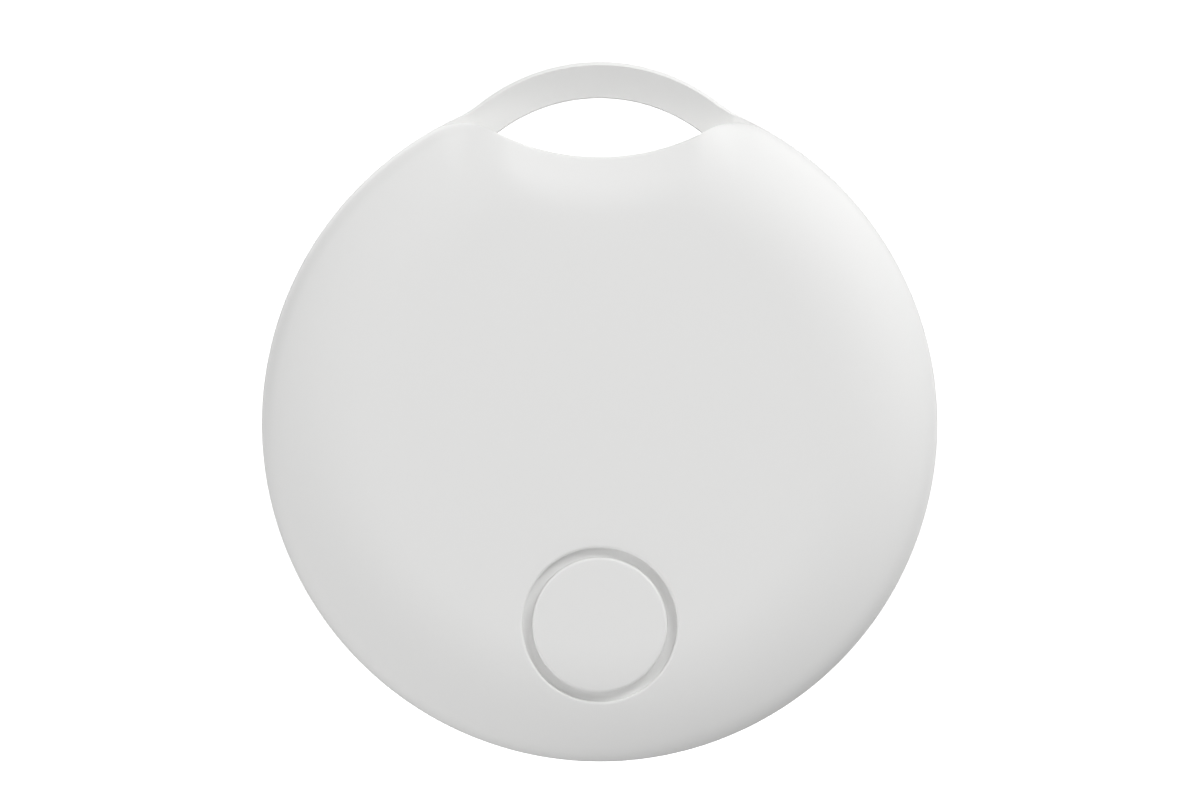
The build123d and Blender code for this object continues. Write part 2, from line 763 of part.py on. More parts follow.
with BuildPart() as snap_disc:
    # thin dished disc under the plunger
    disc_edge = switch_chamber_radius - plunger_clearance
    disc_crown = chamber_base + snap_disc_rise
    with BuildSketch(Plane.XY.offset(-button_drop)):
        Polygon(
            (0, -disc_crown),
            (disc_edge / 2, -disc_crown),
            (disc_edge, -chamber_base),
            (disc_edge, -chamber_base - snap_disc_sheet),
            (disc_edge / 2, -disc_crown - snap_disc_sheet),
            (0, -disc_crown - snap_disc_sheet),
            align=None,
        )
    revolve(axis=Axis((0, 0, -button_drop), (0, 1, 0)))
finish(snap_disc, "snap_disc")

# --- Button and the soft ring that fills its groove --------------------------------------------------
with BuildPart() as button_cap:
    with BuildSketch(face_plane(flange_base)):
        with Locations(button_place):
            Circle(button_radius)
    extrude(amount=body_thickness)
    add(dome(0), mode=Mode.INTERSECT)
    with BuildSketch(face_plane(flange_base)):
        with Locations(button_place):
            Circle(flange_radius)
    extrude(amount=button_flange_thickness)
    with BuildSketch(face_plane(flange_base)):
        with Locations(button_place):
            Circle(button_recess_radius)
    extrude(amount=recess_ceiling - flange_base, mode=Mode.SUBTRACT)
    with BuildSketch(face_plane(plunger_top)):
        with Locations(button_place):
            Circle(button_pin_radius)
    extrude(amount=recess_ceiling - plunger_top)
    fillet(rim_edges(button_cap, button_place, button_radius, pocket_ceiling), button_edge_radius)
finish(button_cap, "button_cap")

with BuildPart() as button_seal:
    with BuildSketch(face_plane(pocket_ceiling)):
        with Locations(button_place):
            Circle(aperture_radius)
    extrude(amount=body_thickness)
    add(dome(0, lift=-groove_depth), mode=Mode.INTERSECT)
    with BuildSketch(face_plane(pocket_ceiling)):
        with Locations(button_place):
            Circle(button_radius + button_clearance)
    extrude(amount=body_thickness, mode=Mode.SUBTRACT)
finish(button_seal, "button_seal")
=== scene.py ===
"""Bluetooth tracker tag: its visible shells, their finishes, and a plain studio.

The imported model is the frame: +Z up towards the loop, -Y towards the viewer, and the origin at the
disc's centre on the flat rear face.  Sizes below are in millimetres; a "height" is the distance
forward of the rear face, so a point at height h has y = -h.  Meshes are written in metres.
"""

import sys

import logging
from collections.abc import Iterator, Sequence
from contextlib import contextmanager
from dataclasses import dataclass
from enum import Enum
from math import acos, atan2, cos, hypot, pi, radians, sin, sqrt, tan

import bpy
import numpy as np
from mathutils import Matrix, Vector


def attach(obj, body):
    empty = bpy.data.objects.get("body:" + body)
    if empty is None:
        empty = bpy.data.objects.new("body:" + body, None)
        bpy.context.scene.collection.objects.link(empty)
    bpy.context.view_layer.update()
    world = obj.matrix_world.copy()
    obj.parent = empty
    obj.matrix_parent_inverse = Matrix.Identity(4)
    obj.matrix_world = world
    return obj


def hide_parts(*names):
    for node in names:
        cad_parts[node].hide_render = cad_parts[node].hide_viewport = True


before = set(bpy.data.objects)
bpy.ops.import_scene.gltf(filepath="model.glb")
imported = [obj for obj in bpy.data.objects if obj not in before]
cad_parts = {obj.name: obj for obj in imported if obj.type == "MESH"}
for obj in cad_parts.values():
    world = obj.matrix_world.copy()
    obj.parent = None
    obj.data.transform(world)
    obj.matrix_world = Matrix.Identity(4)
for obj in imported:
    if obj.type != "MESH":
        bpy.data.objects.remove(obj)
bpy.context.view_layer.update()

log = logging.getLogger("tracker_tag")

MM = 0.001
MERGE = 0.0005 * MM
SMOOTH_ANGLE = radians(32)
Plan = tuple[float, float]
Profile = list[Plan]
Colour = tuple[float, float, float]
Piece = bpy.types.Object
Material = bpy.types.Material
Node = bpy.types.Node
Socket = bpy.types.NodeSocket


class Body(Enum):
    """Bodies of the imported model."""

    TAG = "tag"
    BUTTON = "button"
    DOOR = "door"


# --- Modelling helpers ---


def clear_selection() -> None:
    """Leave nothing selected, in object mode."""
    if bpy.context.mode != "OBJECT":
        bpy.ops.object.mode_set(mode="OBJECT")
    bpy.ops.object.select_all(action="DESELECT")


def activate(piece: Piece) -> None:
    """Make a piece the only selected and the active one."""
    clear_selection()
    piece.select_set(True)
    bpy.context.view_layer.objects.active = piece


@contextmanager
def editing(piece: Piece, everything: bool = False) -> Iterator[None]:
    """Edit mode on one piece.

    Args:
        piece: the object to edit.
        everything: start with all of it selected instead of nothing.
    """
    activate(piece)
    bpy.ops.object.mode_set(mode="EDIT")
    bpy.ops.mesh.select_all(action="SELECT" if everything else "DESELECT")
    yield
    bpy.ops.object.mode_set(mode="OBJECT")


def read_points(piece: Piece) -> np.ndarray:
    """A piece's vertices as rows of x, y, z in millimetres."""
    flat = np.zeros(len(piece.data.vertices) * 3)
    piece.data.vertices.foreach_get("co", flat)
    return flat.reshape(-1, 3) / MM


def write_points(piece: Piece, points: np.ndarray) -> None:
    """Move a piece's vertices to the given rows of x, y, z in millimetres."""
    piece.data.vertices.foreach_set("co", (points * MM).ravel())
    piece.data.update()


def close_up(piece: Piece) -> None:
    """Merge seams and poles, then turn every face outwards."""
    with editing(piece, everything=True):
        bpy.ops.mesh.remove_doubles(threshold=MERGE)
        bpy.ops.mesh.dissolve_degenerate(threshold=MERGE)
    with editing(piece, everything=True):
        bpy.ops.mesh.normals_make_consistent(inside=False)


def smooth(piece: Piece, angle: float = SMOOTH_ANGLE) -> None:
    """Shade a piece smooth, with edges sharper than an angle kept crisp."""
    activate(piece)
    bpy.ops.object.shade_smooth_by_angle(angle=angle)


def weigh_normals(piece: Piece) -> None:
    """Let the large flat faces set the shading beside their rounded edges."""
    activate(piece)
    weighing = piece.modifiers.new("weighing", "WEIGHTED_NORMAL")
    weighing.keep_sharp = True
    weighing.weight = 80
    bpy.ops.object.modifier_apply(modifier=weighing.name)


def combine(piece: Piece, tool: Piece, operation: str) -> None:
    """Add a tool body to a piece, or cut it out of it, and remove the tool.

    Args:
        piece: the object that is kept.
        tool: the object that is added or cut away.
        operation: UNION or DIFFERENCE.
    """
    activate(piece)
    step = piece.modifiers.new(operation.lower(), "BOOLEAN")
    step.object = tool
    step.operation = operation
    step.solver = "EXACT"
    bpy.ops.object.modifier_apply(modifier=step.name)
    bpy.data.objects.remove(tool)


def rounded(corners: Sequence[tuple[float, float, float]], steps: int = 6) -> Profile:
    """Closed profile whose corners are rounded.

    Args:
        corners: radius from the axis, height and corner radius of each corner, in order.
        steps: straight pieces in each rounding.

    Returns:
        The points of the profile, in the same order.
    """
    points: Profile = []
    count = len(corners)
    for index, (x, y, radius) in enumerate(corners):
        here = Vector((x, y))
        if radius <= 0:
            points.append((x, y))
            continue
        before = (Vector(corners[index - 1][:2]) - here).normalized()
        after = (Vector(corners[(index + 1) % count][:2]) - here).normalized()
        opening = acos(max(-1.0, min(1.0, before.dot(after))))
        centre = here + (before + after).normalized() * (radius / sin(opening / 2))
        start = here + before * (radius / tan(opening / 2)) - centre
        end = here + after * (radius / tan(opening / 2)) - centre
        first = atan2(start.y, start.x)
        sweep = (atan2(end.y, end.x) - first + pi) % (2 * pi) - pi
        for step in range(steps + 1):
            angle = first + sweep * step / steps
            points.append((centre.x + radius * cos(angle), centre.y + radius * sin(angle)))
    return points


def turned(name: str, profile: Profile, place: Plan = (0.0, 0.0), steps: int = 192) -> Piece:
    """Solid turned about an axis that runs front to back.

    Args:
        name: the object's name.
        profile: closed section as radius from the axis and height.
        place: where the axis stands, as x and z.
        steps: straight pieces round the turn.

    Returns:
        The new object.
    """
    clear_selection()
    bpy.ops.mesh.primitive_circle_add(vertices=len(profile), radius=MM, fill_type="NOTHING")
    piece = bpy.context.object
    piece.name = name
    section = np.array([(place[0] + radius, -height, place[1]) for radius, height in profile])
    write_points(piece, section)
    with editing(piece, everything=True):
        centre = (place[0] * MM, 0.0, place[1] * MM)
        bpy.ops.mesh.spin(steps=steps, angle=2 * pi, center=centre, axis=(0, 1, 0))
    close_up(piece)
    return piece


def stacked(name: str, rings: Sequence[np.ndarray]) -> Piece:
    """Solid skinned over a stack of closed rings that all have the same number of points.

    Args:
        name: the object's name.
        rings: one array of x, height, z rows for each ring, from one end to the other.

    Returns:
        The new object, with a flat face at each end.
    """
    count = len(rings[0])
    clear_selection()
    bpy.ops.mesh.primitive_circle_add(vertices=count, radius=MM, fill_type="NGON")
    piece = bpy.context.object
    piece.name = name
    turns = np.arctan2(read_points(piece)[:, 1], read_points(piece)[:, 0])
    first = turns[0]
    direction = 1.0 if (turns[1] - first + pi) % (2 * pi) - pi > 0 else -1.0
    with editing(piece, everything=True):
        for _ in rings[1:]:
            bpy.ops.mesh.extrude_region_move(TRANSFORM_OT_translate={"value": (0, 0, MM)})
    marks = read_points(piece)
    turn = (np.arctan2(marks[:, 1], marks[:, 0]) - first) * direction
    column = np.rint(turn / (2 * pi) * count).astype(int) % count
    row = np.rint(marks[:, 2]).astype(int)
    stack = np.array(rings)[row, column]
    write_points(piece, np.column_stack([stack[:, 0], -stack[:, 1], stack[:, 2]]))
    close_up(piece)
    return piece


def quarter(steps: int) -> Iterator[Plan]:
    """Points round a quarter of a unit circle, as distances from its two tangents."""
    for step in range(steps + 1):
        angle = pi / 2 * step / steps
        yield 1 - sin(angle), 1 - cos(angle)


def bulge(base: float, radius: float, offset: np.ndarray) -> np.ndarray:
    """Height of a round arc at distances from the line through its centre, which is at a height."""
    return base + np.sqrt(np.maximum(radius**2 - offset**2, 0))


def prism(name: str, outline: np.ndarray, base: float, top: float) -> Piece:
    """Straight-walled solid on an outline of x, z rows, between two heights."""
    level = np.ones(len(outline))
    return stacked(name, [np.column_stack([outline[:, 0], level * h, outline[:, 1]]) for h in (base, top)])


def finished(piece: Piece, body: Body, nodes: Sequence[str], coat: "Finish") -> Piece:
    """Dress a piece, put it on its body and let it stand for CAD nodes.

    Args:
        piece: the finished mesh object.
        body: the body that it moves with.
        nodes: the CAD nodes that it replaces.
        coat: its finish.

    Returns:
        The same object.
    """
    piece.data.materials.clear()
    piece.data.materials.append(coat.material())
    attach(piece, body.value)
    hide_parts(*nodes)
    log.info("%s: %d faces on %s", piece.name, len(piece.data.polygons), body.value)
    return piece


# --- Shader maths ---


class Amount:
    """A number socket in a shader, on which arithmetic adds Math nodes."""

    def __init__(self, graph: "Graph", socket: Socket) -> None:
        """Wrap a socket of a graph."""
        self.graph = graph
        self.socket = socket

    def _math(self, operation: str, first: "Amount | float", second: "Amount | float") -> "Amount":
        """Add one Math node."""
        node = self.graph.node("ShaderNodeMath", {"operation": operation}, {0: first, 1: second})
        return Amount(self.graph, node.outputs[0])

    def __add__(self, other: "Amount | float") -> "Amount":
        """Sum."""
        return self._math("ADD", self, other)

    def __sub__(self, other: "Amount | float") -> "Amount":
        """Difference."""
        return self._math("SUBTRACT", self, other)

    def __rsub__(self, other: float) -> "Amount":
        """Difference from a number."""
        return self._math("SUBTRACT", other, self)

    def __mul__(self, other: "Amount | float") -> "Amount":
        """Product."""
        return self._math("MULTIPLY", self, other)


class Graph:
    """Node tree of one material that ends in a Principled shader."""

    def __init__(self, name: str) -> None:
        """Start an empty material of this name."""
        self.material = bpy.data.materials.new(name)
        self.material.use_nodes = True
        self.tree = self.material.node_tree
        self.tree.nodes.clear()
        self.shader = self.node("ShaderNodeBsdfPrincipled")
        self.node("ShaderNodeOutputMaterial", sockets={"Surface": self.shader.outputs[0]})
        self.object_place = self.node("ShaderNodeTexCoord").outputs["Object"]

    def node(self, kind: str, settings: dict | None = None, sockets: dict | None = None) -> Node:
        """Add a node.

        Args:
            kind: the node's type.
            settings: its properties, which are set first.
            sockets: value or link for each named or numbered input.

        Returns:
            The node.
        """
        made = self.tree.nodes.new(kind)
        for key, value in (settings or {}).items():
            setattr(made, key, value)
        for key, value in (sockets or {}).items():
            self.feed(made.inputs[key], value)
        return made

    def feed(self, socket: Socket, value: object) -> None:
        """Link an amount or socket to an input, or set its own value."""
        if isinstance(value, Amount):
            self.tree.links.new(value.socket, socket)
        elif isinstance(value, Socket):
            self.tree.links.new(value, socket)
        elif isinstance(value, tuple) and len(value) == 3 and socket.type == "RGBA":
            socket.default_value = (*value, 1.0)
        else:
            socket.default_value = value

    def noise(self, grain: float, detail: float = 2.0, stretch: Colour = (1.0, 1.0, 1.0)) -> Amount:
        """Noise on Object coordinates.

        Args:
            grain: size of its features in millimetres.
            detail: octaves.
            stretch: how many times finer it is along X, Y and Z.

        Returns:
            The noise, about 0.5 on average.
        """
        place = self.node("ShaderNodeMapping", sockets={"Vector": self.object_place, "Scale": stretch})
        sockets = {"Vector": place.outputs[0], "Scale": 1 / (grain * MM), "Detail": detail}
        return Amount(self, self.node("ShaderNodeTexNoise", sockets=sockets).outputs[0])

    def step(self, amount: Amount, low: float, high: float) -> Amount:
        """Smooth rise from 0 to 1 between two values."""
        settings = {"interpolation_type": "SMOOTHSTEP"}
        ramp = self.node("ShaderNodeMapRange", settings, {0: amount, 1: low, 2: high})
        return Amount(self, ramp.outputs[0])

    def mix(self, share: Amount, first: object, second: object) -> Socket:
        """Blend two colours by an amount."""
        blend = self.node("ShaderNodeMix", {"data_type": "RGBA"})
        for socket, value in ((0, share), (6, first), (7, second)):
            self.feed(blend.inputs[socket], value)
        return blend.outputs[2]

    def bump(self, height: Amount, distance: float, under: object = None) -> Socket:
        """Bump of a depth in millimetres, over another normal when there is one."""
        sockets = {"Height": height, "Distance": distance * MM, "Strength": 1.0}
        if under is not None:
            sockets["Normal"] = under
        return self.node("ShaderNodeBump", sockets=sockets).outputs[0]

    def set(self, **inputs: object) -> None:
        """Feed inputs of the Principled shader, with _ standing for a space in their names."""
        for name, value in inputs.items():
            self.feed(self.shader.inputs[name.replace("_", " ")], value)


def shade(colour: Colour, factor: float) -> Colour:
    """A colour made lighter or darker."""
    return tuple(min(1.0, part * factor) for part in colour)


# --- Finishes ---


@dataclass(frozen=True)
class Finish:
    """What every finish has."""

    name: str
    colour: Colour
    roughness: float

    def material(self) -> Material:
        """The material of the finish's name: an existing one, such as one imported with model.glb, is
        returned as it is; otherwise it is built from the finish.
        """
        known = bpy.data.materials.get(self.name)
        if known is None:
            graph = Graph(self.name)
            self.fill(graph)
            known = graph.material
        return known

    def fill(self, graph: Graph) -> None:
        """Build the finish in an empty graph."""
        raise NotImplementedError


@dataclass(frozen=True)
class Moulded(Finish):
    """Injection-moulded plastic with a spark-eroded grain and a faint flow mottle."""

    grain: float = 0.16
    grain_depth: float = 0.004
    grain_gloss: float = 0.16
    mottle: float = 0.012
    mottle_size: float = 7.0
    mottle_gloss: float = 0.06
    speck_size: float = 0.5
    wave_size: float = 4.0
    wave_depth: float = 0.012

    def fill(self, graph: Graph) -> None:
        """Build the finish in an empty graph."""
        flow = graph.noise(self.mottle_size, 3.0)
        speck = graph.noise(self.speck_size, 3.0)
        tone = graph.step(flow * 0.75 + speck * 0.25, 0.35, 0.65)
        pale = shade(self.colour, 1.0 + self.mottle)
        deep = shade(self.colour, 1.0 - self.mottle)
        grain = graph.noise(self.grain, 3.0)
        broad = graph.bump(graph.noise(self.wave_size, 1.0), self.wave_depth)
        graph.set(
            Base_Color=graph.mix(tone, deep, pale),
            Roughness=(grain - 0.5) * self.grain_gloss + (flow - 0.5) * self.mottle_gloss + self.roughness,
            Normal=graph.bump(grain, self.grain_depth, under=broad),
        )


@dataclass(frozen=True)
class Rubber(Finish):
    """Soft silicone: matte, faintly dusty, with a fine skin."""

    dust: float = 0.05
    dust_size: float = 1.6
    skin_size: float = 0.09
    skin_depth: float = 0.004

    def fill(self, graph: Graph) -> None:
        """Build the finish in an empty graph."""
        cloud = graph.noise(self.dust_size, 4.0)
        dusty = shade(self.colour, 1.0 + self.dust)
        graph.set(
            Base_Color=graph.mix(graph.step(cloud, 0.4, 0.7), self.colour, dusty),
            Roughness=(cloud - 0.5) * 0.12 + self.roughness,
            Specular_IOR_Level=0.35,
            Sheen_Weight=0.08,
            Normal=graph.bump(graph.noise(self.skin_size), self.skin_depth),
        )


class Grain(Enum):
    """How a metal was worked."""

    TURNED = "turned"
    ROLLED = "rolled"


@dataclass(frozen=True)
class Metal(Finish):
    """Plated or bare metal, with turned or rolled grain and light handling scuffs."""

    grain: Grain = Grain.ROLLED
    grain_depth: float = 0.0015
    turned_lines_per_metre: float = 9000.0
    rolled_line: float = 0.12
    rolled_stretch: Colour = (0.06, 1.0, 1.0)
    scuff_size: float = 0.9

    def fill(self, graph: Graph) -> None:
        """Build the finish in an empty graph."""
        if self.grain is Grain.TURNED:
            flat = graph.node("ShaderNodeVectorMath", {"operation": "MULTIPLY"}, {0: graph.object_place})
            flat.inputs[1].default_value = (1.0, 0.0, 1.0)
            length = graph.node("ShaderNodeVectorMath", {"operation": "LENGTH"}, {0: flat.outputs[0]})
            radius = Amount(graph, length.outputs["Value"])
            rings = {"W": radius, "Scale": self.turned_lines_per_metre, "Detail": 3.0}
            made = graph.node("ShaderNodeTexNoise", {"noise_dimensions": "1D"}, rings)
            lines = Amount(graph, made.outputs[0])
        else:
            lines = graph.noise(self.rolled_line, 3.0, self.rolled_stretch)
        scuff = graph.step(graph.noise(self.scuff_size, 5.0), 0.5, 0.72)
        dull = shade(self.colour, 0.82)
        graph.set(
            Base_Color=graph.mix(scuff * 0.5, self.colour, dull),
            Metallic=1.0,
            Roughness=(lines - 0.5) * 0.2 + scuff * 0.12 + self.roughness,
            Normal=graph.bump(lines, self.grain_depth),
        )


@dataclass(frozen=True)
class Laminate(Finish):
    """Circuit board: solder mask over traces and a weave, with tinned vias."""

    trace: Colour = (0.035, 0.20, 0.10)
    tin: Colour = (0.72, 0.70, 0.66)
    trace_pitch: float = 0.8
    via_pitch: float = 2.2
    weave: float = 0.35
    relief: float = 0.03

    def fill(self, graph: Graph) -> None:
        """Build the finish in an empty graph."""
        bricks = {
            "Vector": self._flat(graph),
            "Scale": 1 / (self.trace_pitch * 4 * MM),
            "Mortar Size": 0.05,
            "Mortar Smooth": 0.2,
        }
        tracks = Amount(graph, graph.node("ShaderNodeTexBrick", {"offset": 0.37}, bricks).outputs[1])
        cells = {"Vector": self._flat(graph), "Scale": 1 / (self.via_pitch * MM)}
        spots = Amount(graph, graph.node("ShaderNodeTexVoronoi", sockets=cells).outputs[0])
        vias = 1.0 - graph.step(spots, 0.1, 0.14)
        weave = graph.noise(self.weave, 1.0)
        mask = graph.mix(tracks, self.colour, self.trace)
        graph.set(
            Base_Color=graph.mix(vias, mask, self.tin),
            Metallic=vias * 0.9,
            Roughness=(weave - 0.5) * 0.1 + vias * -0.1 + self.roughness,
            Coat_Weight=(1.0 - vias) * 0.4,
            Normal=graph.bump(tracks * 0.7 + vias + weave * 0.1, self.relief),
        )

    def _flat(self, graph: Graph) -> Socket:
        """Object coordinates turned so that the board's face is the pattern's plane."""
        turn = {"Vector": graph.object_place, "Rotation": (pi / 2, 0.0, 0.0)}
        return graph.node("ShaderNodeMapping", sockets=turn).outputs[0]


@dataclass(frozen=True)
class Ceramic(Finish):
    """Fired or fritted surface with fine pits."""

    pit: float = 0.25
    pit_depth: float = 0.004
    tone_size: float = 1.2

    def fill(self, graph: Graph) -> None:
        """Build the finish in an empty graph."""
        pits = graph.step(graph.noise(self.pit, 4.0), 0.36, 0.5)
        tone = graph.noise(self.tone_size, 3.0)
        graph.set(
            Base_Color=graph.mix(tone, shade(self.colour, 0.86), shade(self.colour, 1.1)),
            Roughness=(1.0 - pits) * 0.25 + self.roughness,
            Normal=graph.bump(pits, self.pit_depth),
        )


CASE_WHITE = Moulded("case_white", (0.802, 0.803, 0.797), 0.46)
SOFT_WHITE = Rubber("soft_white", (0.79, 0.792, 0.787), 0.62)
SEAL_GREY = Rubber("seal_grey", (0.045, 0.045, 0.05), 0.5, dust=0.5)
CELL_STEEL = Metal("cell_steel", (0.74, 0.73, 0.70), 0.24, grain=Grain.TURNED)
FINISHES: tuple[Finish, ...] = (
    CASE_WHITE,
    SOFT_WHITE,
    SEAL_GREY,
    CELL_STEEL,
    Moulded("chassis_black", (0.022, 0.022, 0.024), 0.5, grain=0.12, mottle=0.2),
    Moulded("cell_seal", (0.10, 0.10, 0.11), 0.4, mottle=0.1),
    Metal("contact_metal", (0.78, 0.66, 0.42), 0.28),
    Laminate("board_green", (0.012, 0.10, 0.045), 0.32),
    Metal("screw_steel", (0.62, 0.62, 0.61), 0.3, grain=Grain.TURNED),
    Moulded("chip_black", (0.02, 0.02, 0.022), 0.55, grain=0.08, mottle=0.15),
    Ceramic("capacitor_tan", (0.36, 0.24, 0.15), 0.4),
    Metal("crystal_can", (0.70, 0.70, 0.68), 0.2),
    Ceramic("antenna_ceramic", (0.62, 0.62, 0.58), 0.35),
    Metal("plate_brass", (0.80, 0.58, 0.26), 0.26, grain=Grain.TURNED),
    Ceramic("piezo_ceramic", (0.62, 0.58, 0.48), 0.45),
    Rubber("adhesive_black", (0.02, 0.02, 0.02), 0.7),
    Moulded("lead_red", (0.42, 0.02, 0.015), 0.4, grain=0.1),
    Metal("switch_metal", (0.66, 0.66, 0.65), 0.25),
    Moulded("plunger_black", (0.025, 0.025, 0.027), 0.45, grain=0.1),
)


# --- The case's shape ---


@dataclass(frozen=True)
class CaseForm:
    """Sizes and surfaces that the two shells, the button and its seal share."""

    body_radius: float = 20.0
    front_radius: float = 19.94
    thickness: float = 8.0
    parting_height: float = 3.2
    wall: float = 1.2
    crown_radius: float = 320.0
    brow_radius: float = 9.8
    rim_radius: float = 2.5
    rim_height: float = 3.6
    scoop_radius: float = 13.55
    scoop_centre: float = 29.28
    shoulder_radius: float = 3.7
    lip_radius: float = 6.6
    lip_top: float = 7.79
    lip_flank: float = 1.6
    lip_edge: float = 0.35
    lip_slope: float = radians(26)
    lip_lean: float = radians(3.5)
    lip_rise: float = 0.06
    lip_blend: float = 0.16
    button_place: Plan = (0.0, -11.8)
    button_radius: float = 3.97
    aperture_radius: float = 4.54
    button_edge: float = 0.19
    pocket_ceiling: float = 6.3
    top_crowding: float = 0.6

    def brow_centre(self) -> Plan:
        """Centre (radius, height) of the arc between the crown and the rim."""
        crown = Vector((0.0, self.thickness - self.crown_radius))
        rim = Vector((self.front_radius - self.rim_radius, self.rim_height))
        span = (rim - crown).length
        from_crown = self.crown_radius - self.brow_radius
        from_rim = self.brow_radius - self.rim_radius
        along = (span**2 + from_crown**2 - from_rim**2) / (2 * span)
        unit = (rim - crown).normalized()
        centre = crown + unit * along + Vector((-unit.y, unit.x)) * sqrt(from_crown**2 - along**2)
        return centre.x, centre.y

    def dome(self, radius: np.ndarray) -> np.ndarray:
        """Height of the domed face at distances from the tag's axis."""
        brow_x, brow_y = self.brow_centre()
        rim_x = self.front_radius - self.rim_radius
        crown_y = self.thickness - self.crown_radius
        crown_end = self.crown_radius * brow_x / hypot(brow_x, brow_y - crown_y)
        brow_end = brow_x + self.brow_radius * (rim_x - brow_x) / (self.brow_radius - self.rim_radius)
        crown = bulge(crown_y, self.crown_radius, radius)
        brow = bulge(brow_y, self.brow_radius, radius - brow_x)
        rim = bulge(self.rim_height, self.rim_radius, radius - rim_x)
        return np.select([radius < crown_end, radius < brow_end], [crown, brow], default=rim)

    def lip(self, depth: np.ndarray) -> np.ndarray:
        """Height along the scoop at distances in from its wall: an edge, a gentle flank, a roll."""
        middle = self.lip_flank + self.lip_radius * sin(self.lip_slope)
        roll_end = middle - self.lip_radius * sin(self.lip_lean)
        base = self.lip_top - self.lip_radius * cos(self.lip_lean)
        flank_end = base + self.lip_radius * cos(self.lip_slope)
        flank = flank_end - tan(self.lip_slope) * (self.lip_flank - depth)
        edge_end = self.lip_edge * (1 - sin(self.lip_slope))
        edge_base = flank_end - tan(self.lip_slope) * (self.lip_flank - edge_end)
        edge_base -= self.lip_edge * cos(self.lip_slope)
        edge = bulge(edge_base, self.lip_edge, self.lip_edge - depth)
        roll = bulge(base, self.lip_radius, middle - depth)
        past = np.maximum(depth - roll_end, 0)
        crown = self.lip_top + tan(self.lip_lean) * past + self.lip_rise * past**2
        zones = [depth < edge_end, depth < self.lip_flank, depth < roll_end]
        return np.select(zones, [edge, flank, roll], default=crown)

    def shoulder_centre(self) -> Plan:
        """Centre (x, z) of the rounded corner between the scoop and the rim, on the right."""
        to_axis = self.front_radius - self.shoulder_radius
        to_scoop = self.scoop_radius + self.shoulder_radius
        height = (to_axis**2 - to_scoop**2 + self.scoop_centre**2) / (2 * self.scoop_centre)
        return sqrt(to_axis**2 - height**2), height

    def shoulder_share(self, x: np.ndarray, z: np.ndarray) -> np.ndarray:
        """How far round a rounded corner a point lies: 0 at the rim, 1 at the scoop, else outside."""
        centre_x, centre_z = self.shoulder_centre()
        start = atan2(centre_z, centre_x)
        end = atan2(self.scoop_centre - centre_z, -centre_x)
        return (np.arctan2(z - centre_z, np.abs(x) - centre_x) - start) / (end - start)

    def face(self, x: np.ndarray, z: np.ndarray) -> np.ndarray:
        """Height of the front shell's face, with the roll along the scoop and soft shoulders."""
        radius = np.hypot(x, z)
        into_scoop = np.hypot(x, z - self.scoop_centre) - self.scoop_radius
        open_face = self.blended(self.dome(radius), self.lip(into_scoop))
        centre_x, centre_z = self.shoulder_centre()
        depth = np.maximum(self.shoulder_radius - np.hypot(np.abs(x) - centre_x, z - centre_z), 0)
        share = self.shoulder_share(x, z)
        ease = share**2 * (3 - 2 * share)
        along_rim = self.dome(self.front_radius - depth)
        along_scoop = self.blended(self.dome(radius), self.lip(depth))
        corner = along_rim * (1 - ease) + along_scoop * ease
        inside = (share > 0) & (share < 1) & (z > centre_z)
        return np.where(inside, corner, open_face)

    def blended(self, first: np.ndarray, second: np.ndarray) -> np.ndarray:
        """The lower of two heights, with the crease between them rounded."""
        near = np.maximum(self.lip_blend - np.abs(first - second), 0)
        return np.minimum(first, second) - near**2 / (4 * self.lip_blend)

    def reach(self, turns: np.ndarray, inset: float = 0.0) -> np.ndarray:
        """Distance from the button's axis to the front outline, moved in by an inset.

        Args:
            turns: directions in radians, from +X towards +Z.
            inset: how far the outline is moved inwards, or outwards where it is negative.

        Returns:
            One distance for each direction.
        """
        start = np.array(self.button_place)
        way = np.column_stack([np.cos(turns), np.sin(turns)])

        def crossing(centre: np.ndarray, radius: float, far: bool) -> np.ndarray:
            """Distance to a circle, or infinity where it is missed."""
            offset = start - centre
            along = (way * offset).sum(axis=1)
            inner = along**2 - ((offset**2).sum(axis=-1) - radius**2)
            root = np.sqrt(np.maximum(inner, 0))
            distance = -along + (root if far else -root)
            return np.where((inner > 0) & (distance > 0), distance, np.inf)

        rim = crossing(np.zeros(2), self.front_radius - inset, True)
        scoop = crossing(np.array([0.0, self.scoop_centre]), self.scoop_radius + inset, False)
        centre_x, centre_z = self.shoulder_centre()
        sideways = np.where(way[:, 0] < 0, -centre_x, centre_x)
        centres = np.column_stack([sideways, np.full(len(way), centre_z)])
        shoulder = crossing(centres, self.shoulder_radius - inset, True)
        usable = np.where(np.isfinite(shoulder), shoulder, 0)
        hit = start + way * usable[:, None]
        share = self.shoulder_share(hit[:, 0], hit[:, 1])
        on_corner = np.isfinite(shoulder) & (share > 0) & (share < 1) & (hit[:, 1] > centre_z)
        return np.where(on_corner, shoulder, np.minimum(rim, scoop))

    def crowded(self, turns: np.ndarray) -> np.ndarray:
        """Directions from the button's axis drawn together towards the loop."""
        return turns - self.top_crowding * np.sin(turns - pi / 2)

    def outline(self, inset: float, count: int = 480) -> np.ndarray:
        """Front outline as x, z rows."""
        turns = self.crowded(np.arange(count) * 2 * pi / count + pi / 2)
        distance = self.reach(turns, inset)
        x = self.button_place[0] + distance * np.cos(turns)
        return np.column_stack([x, self.button_place[1] + distance * np.sin(turns)])


FORM = CaseForm()


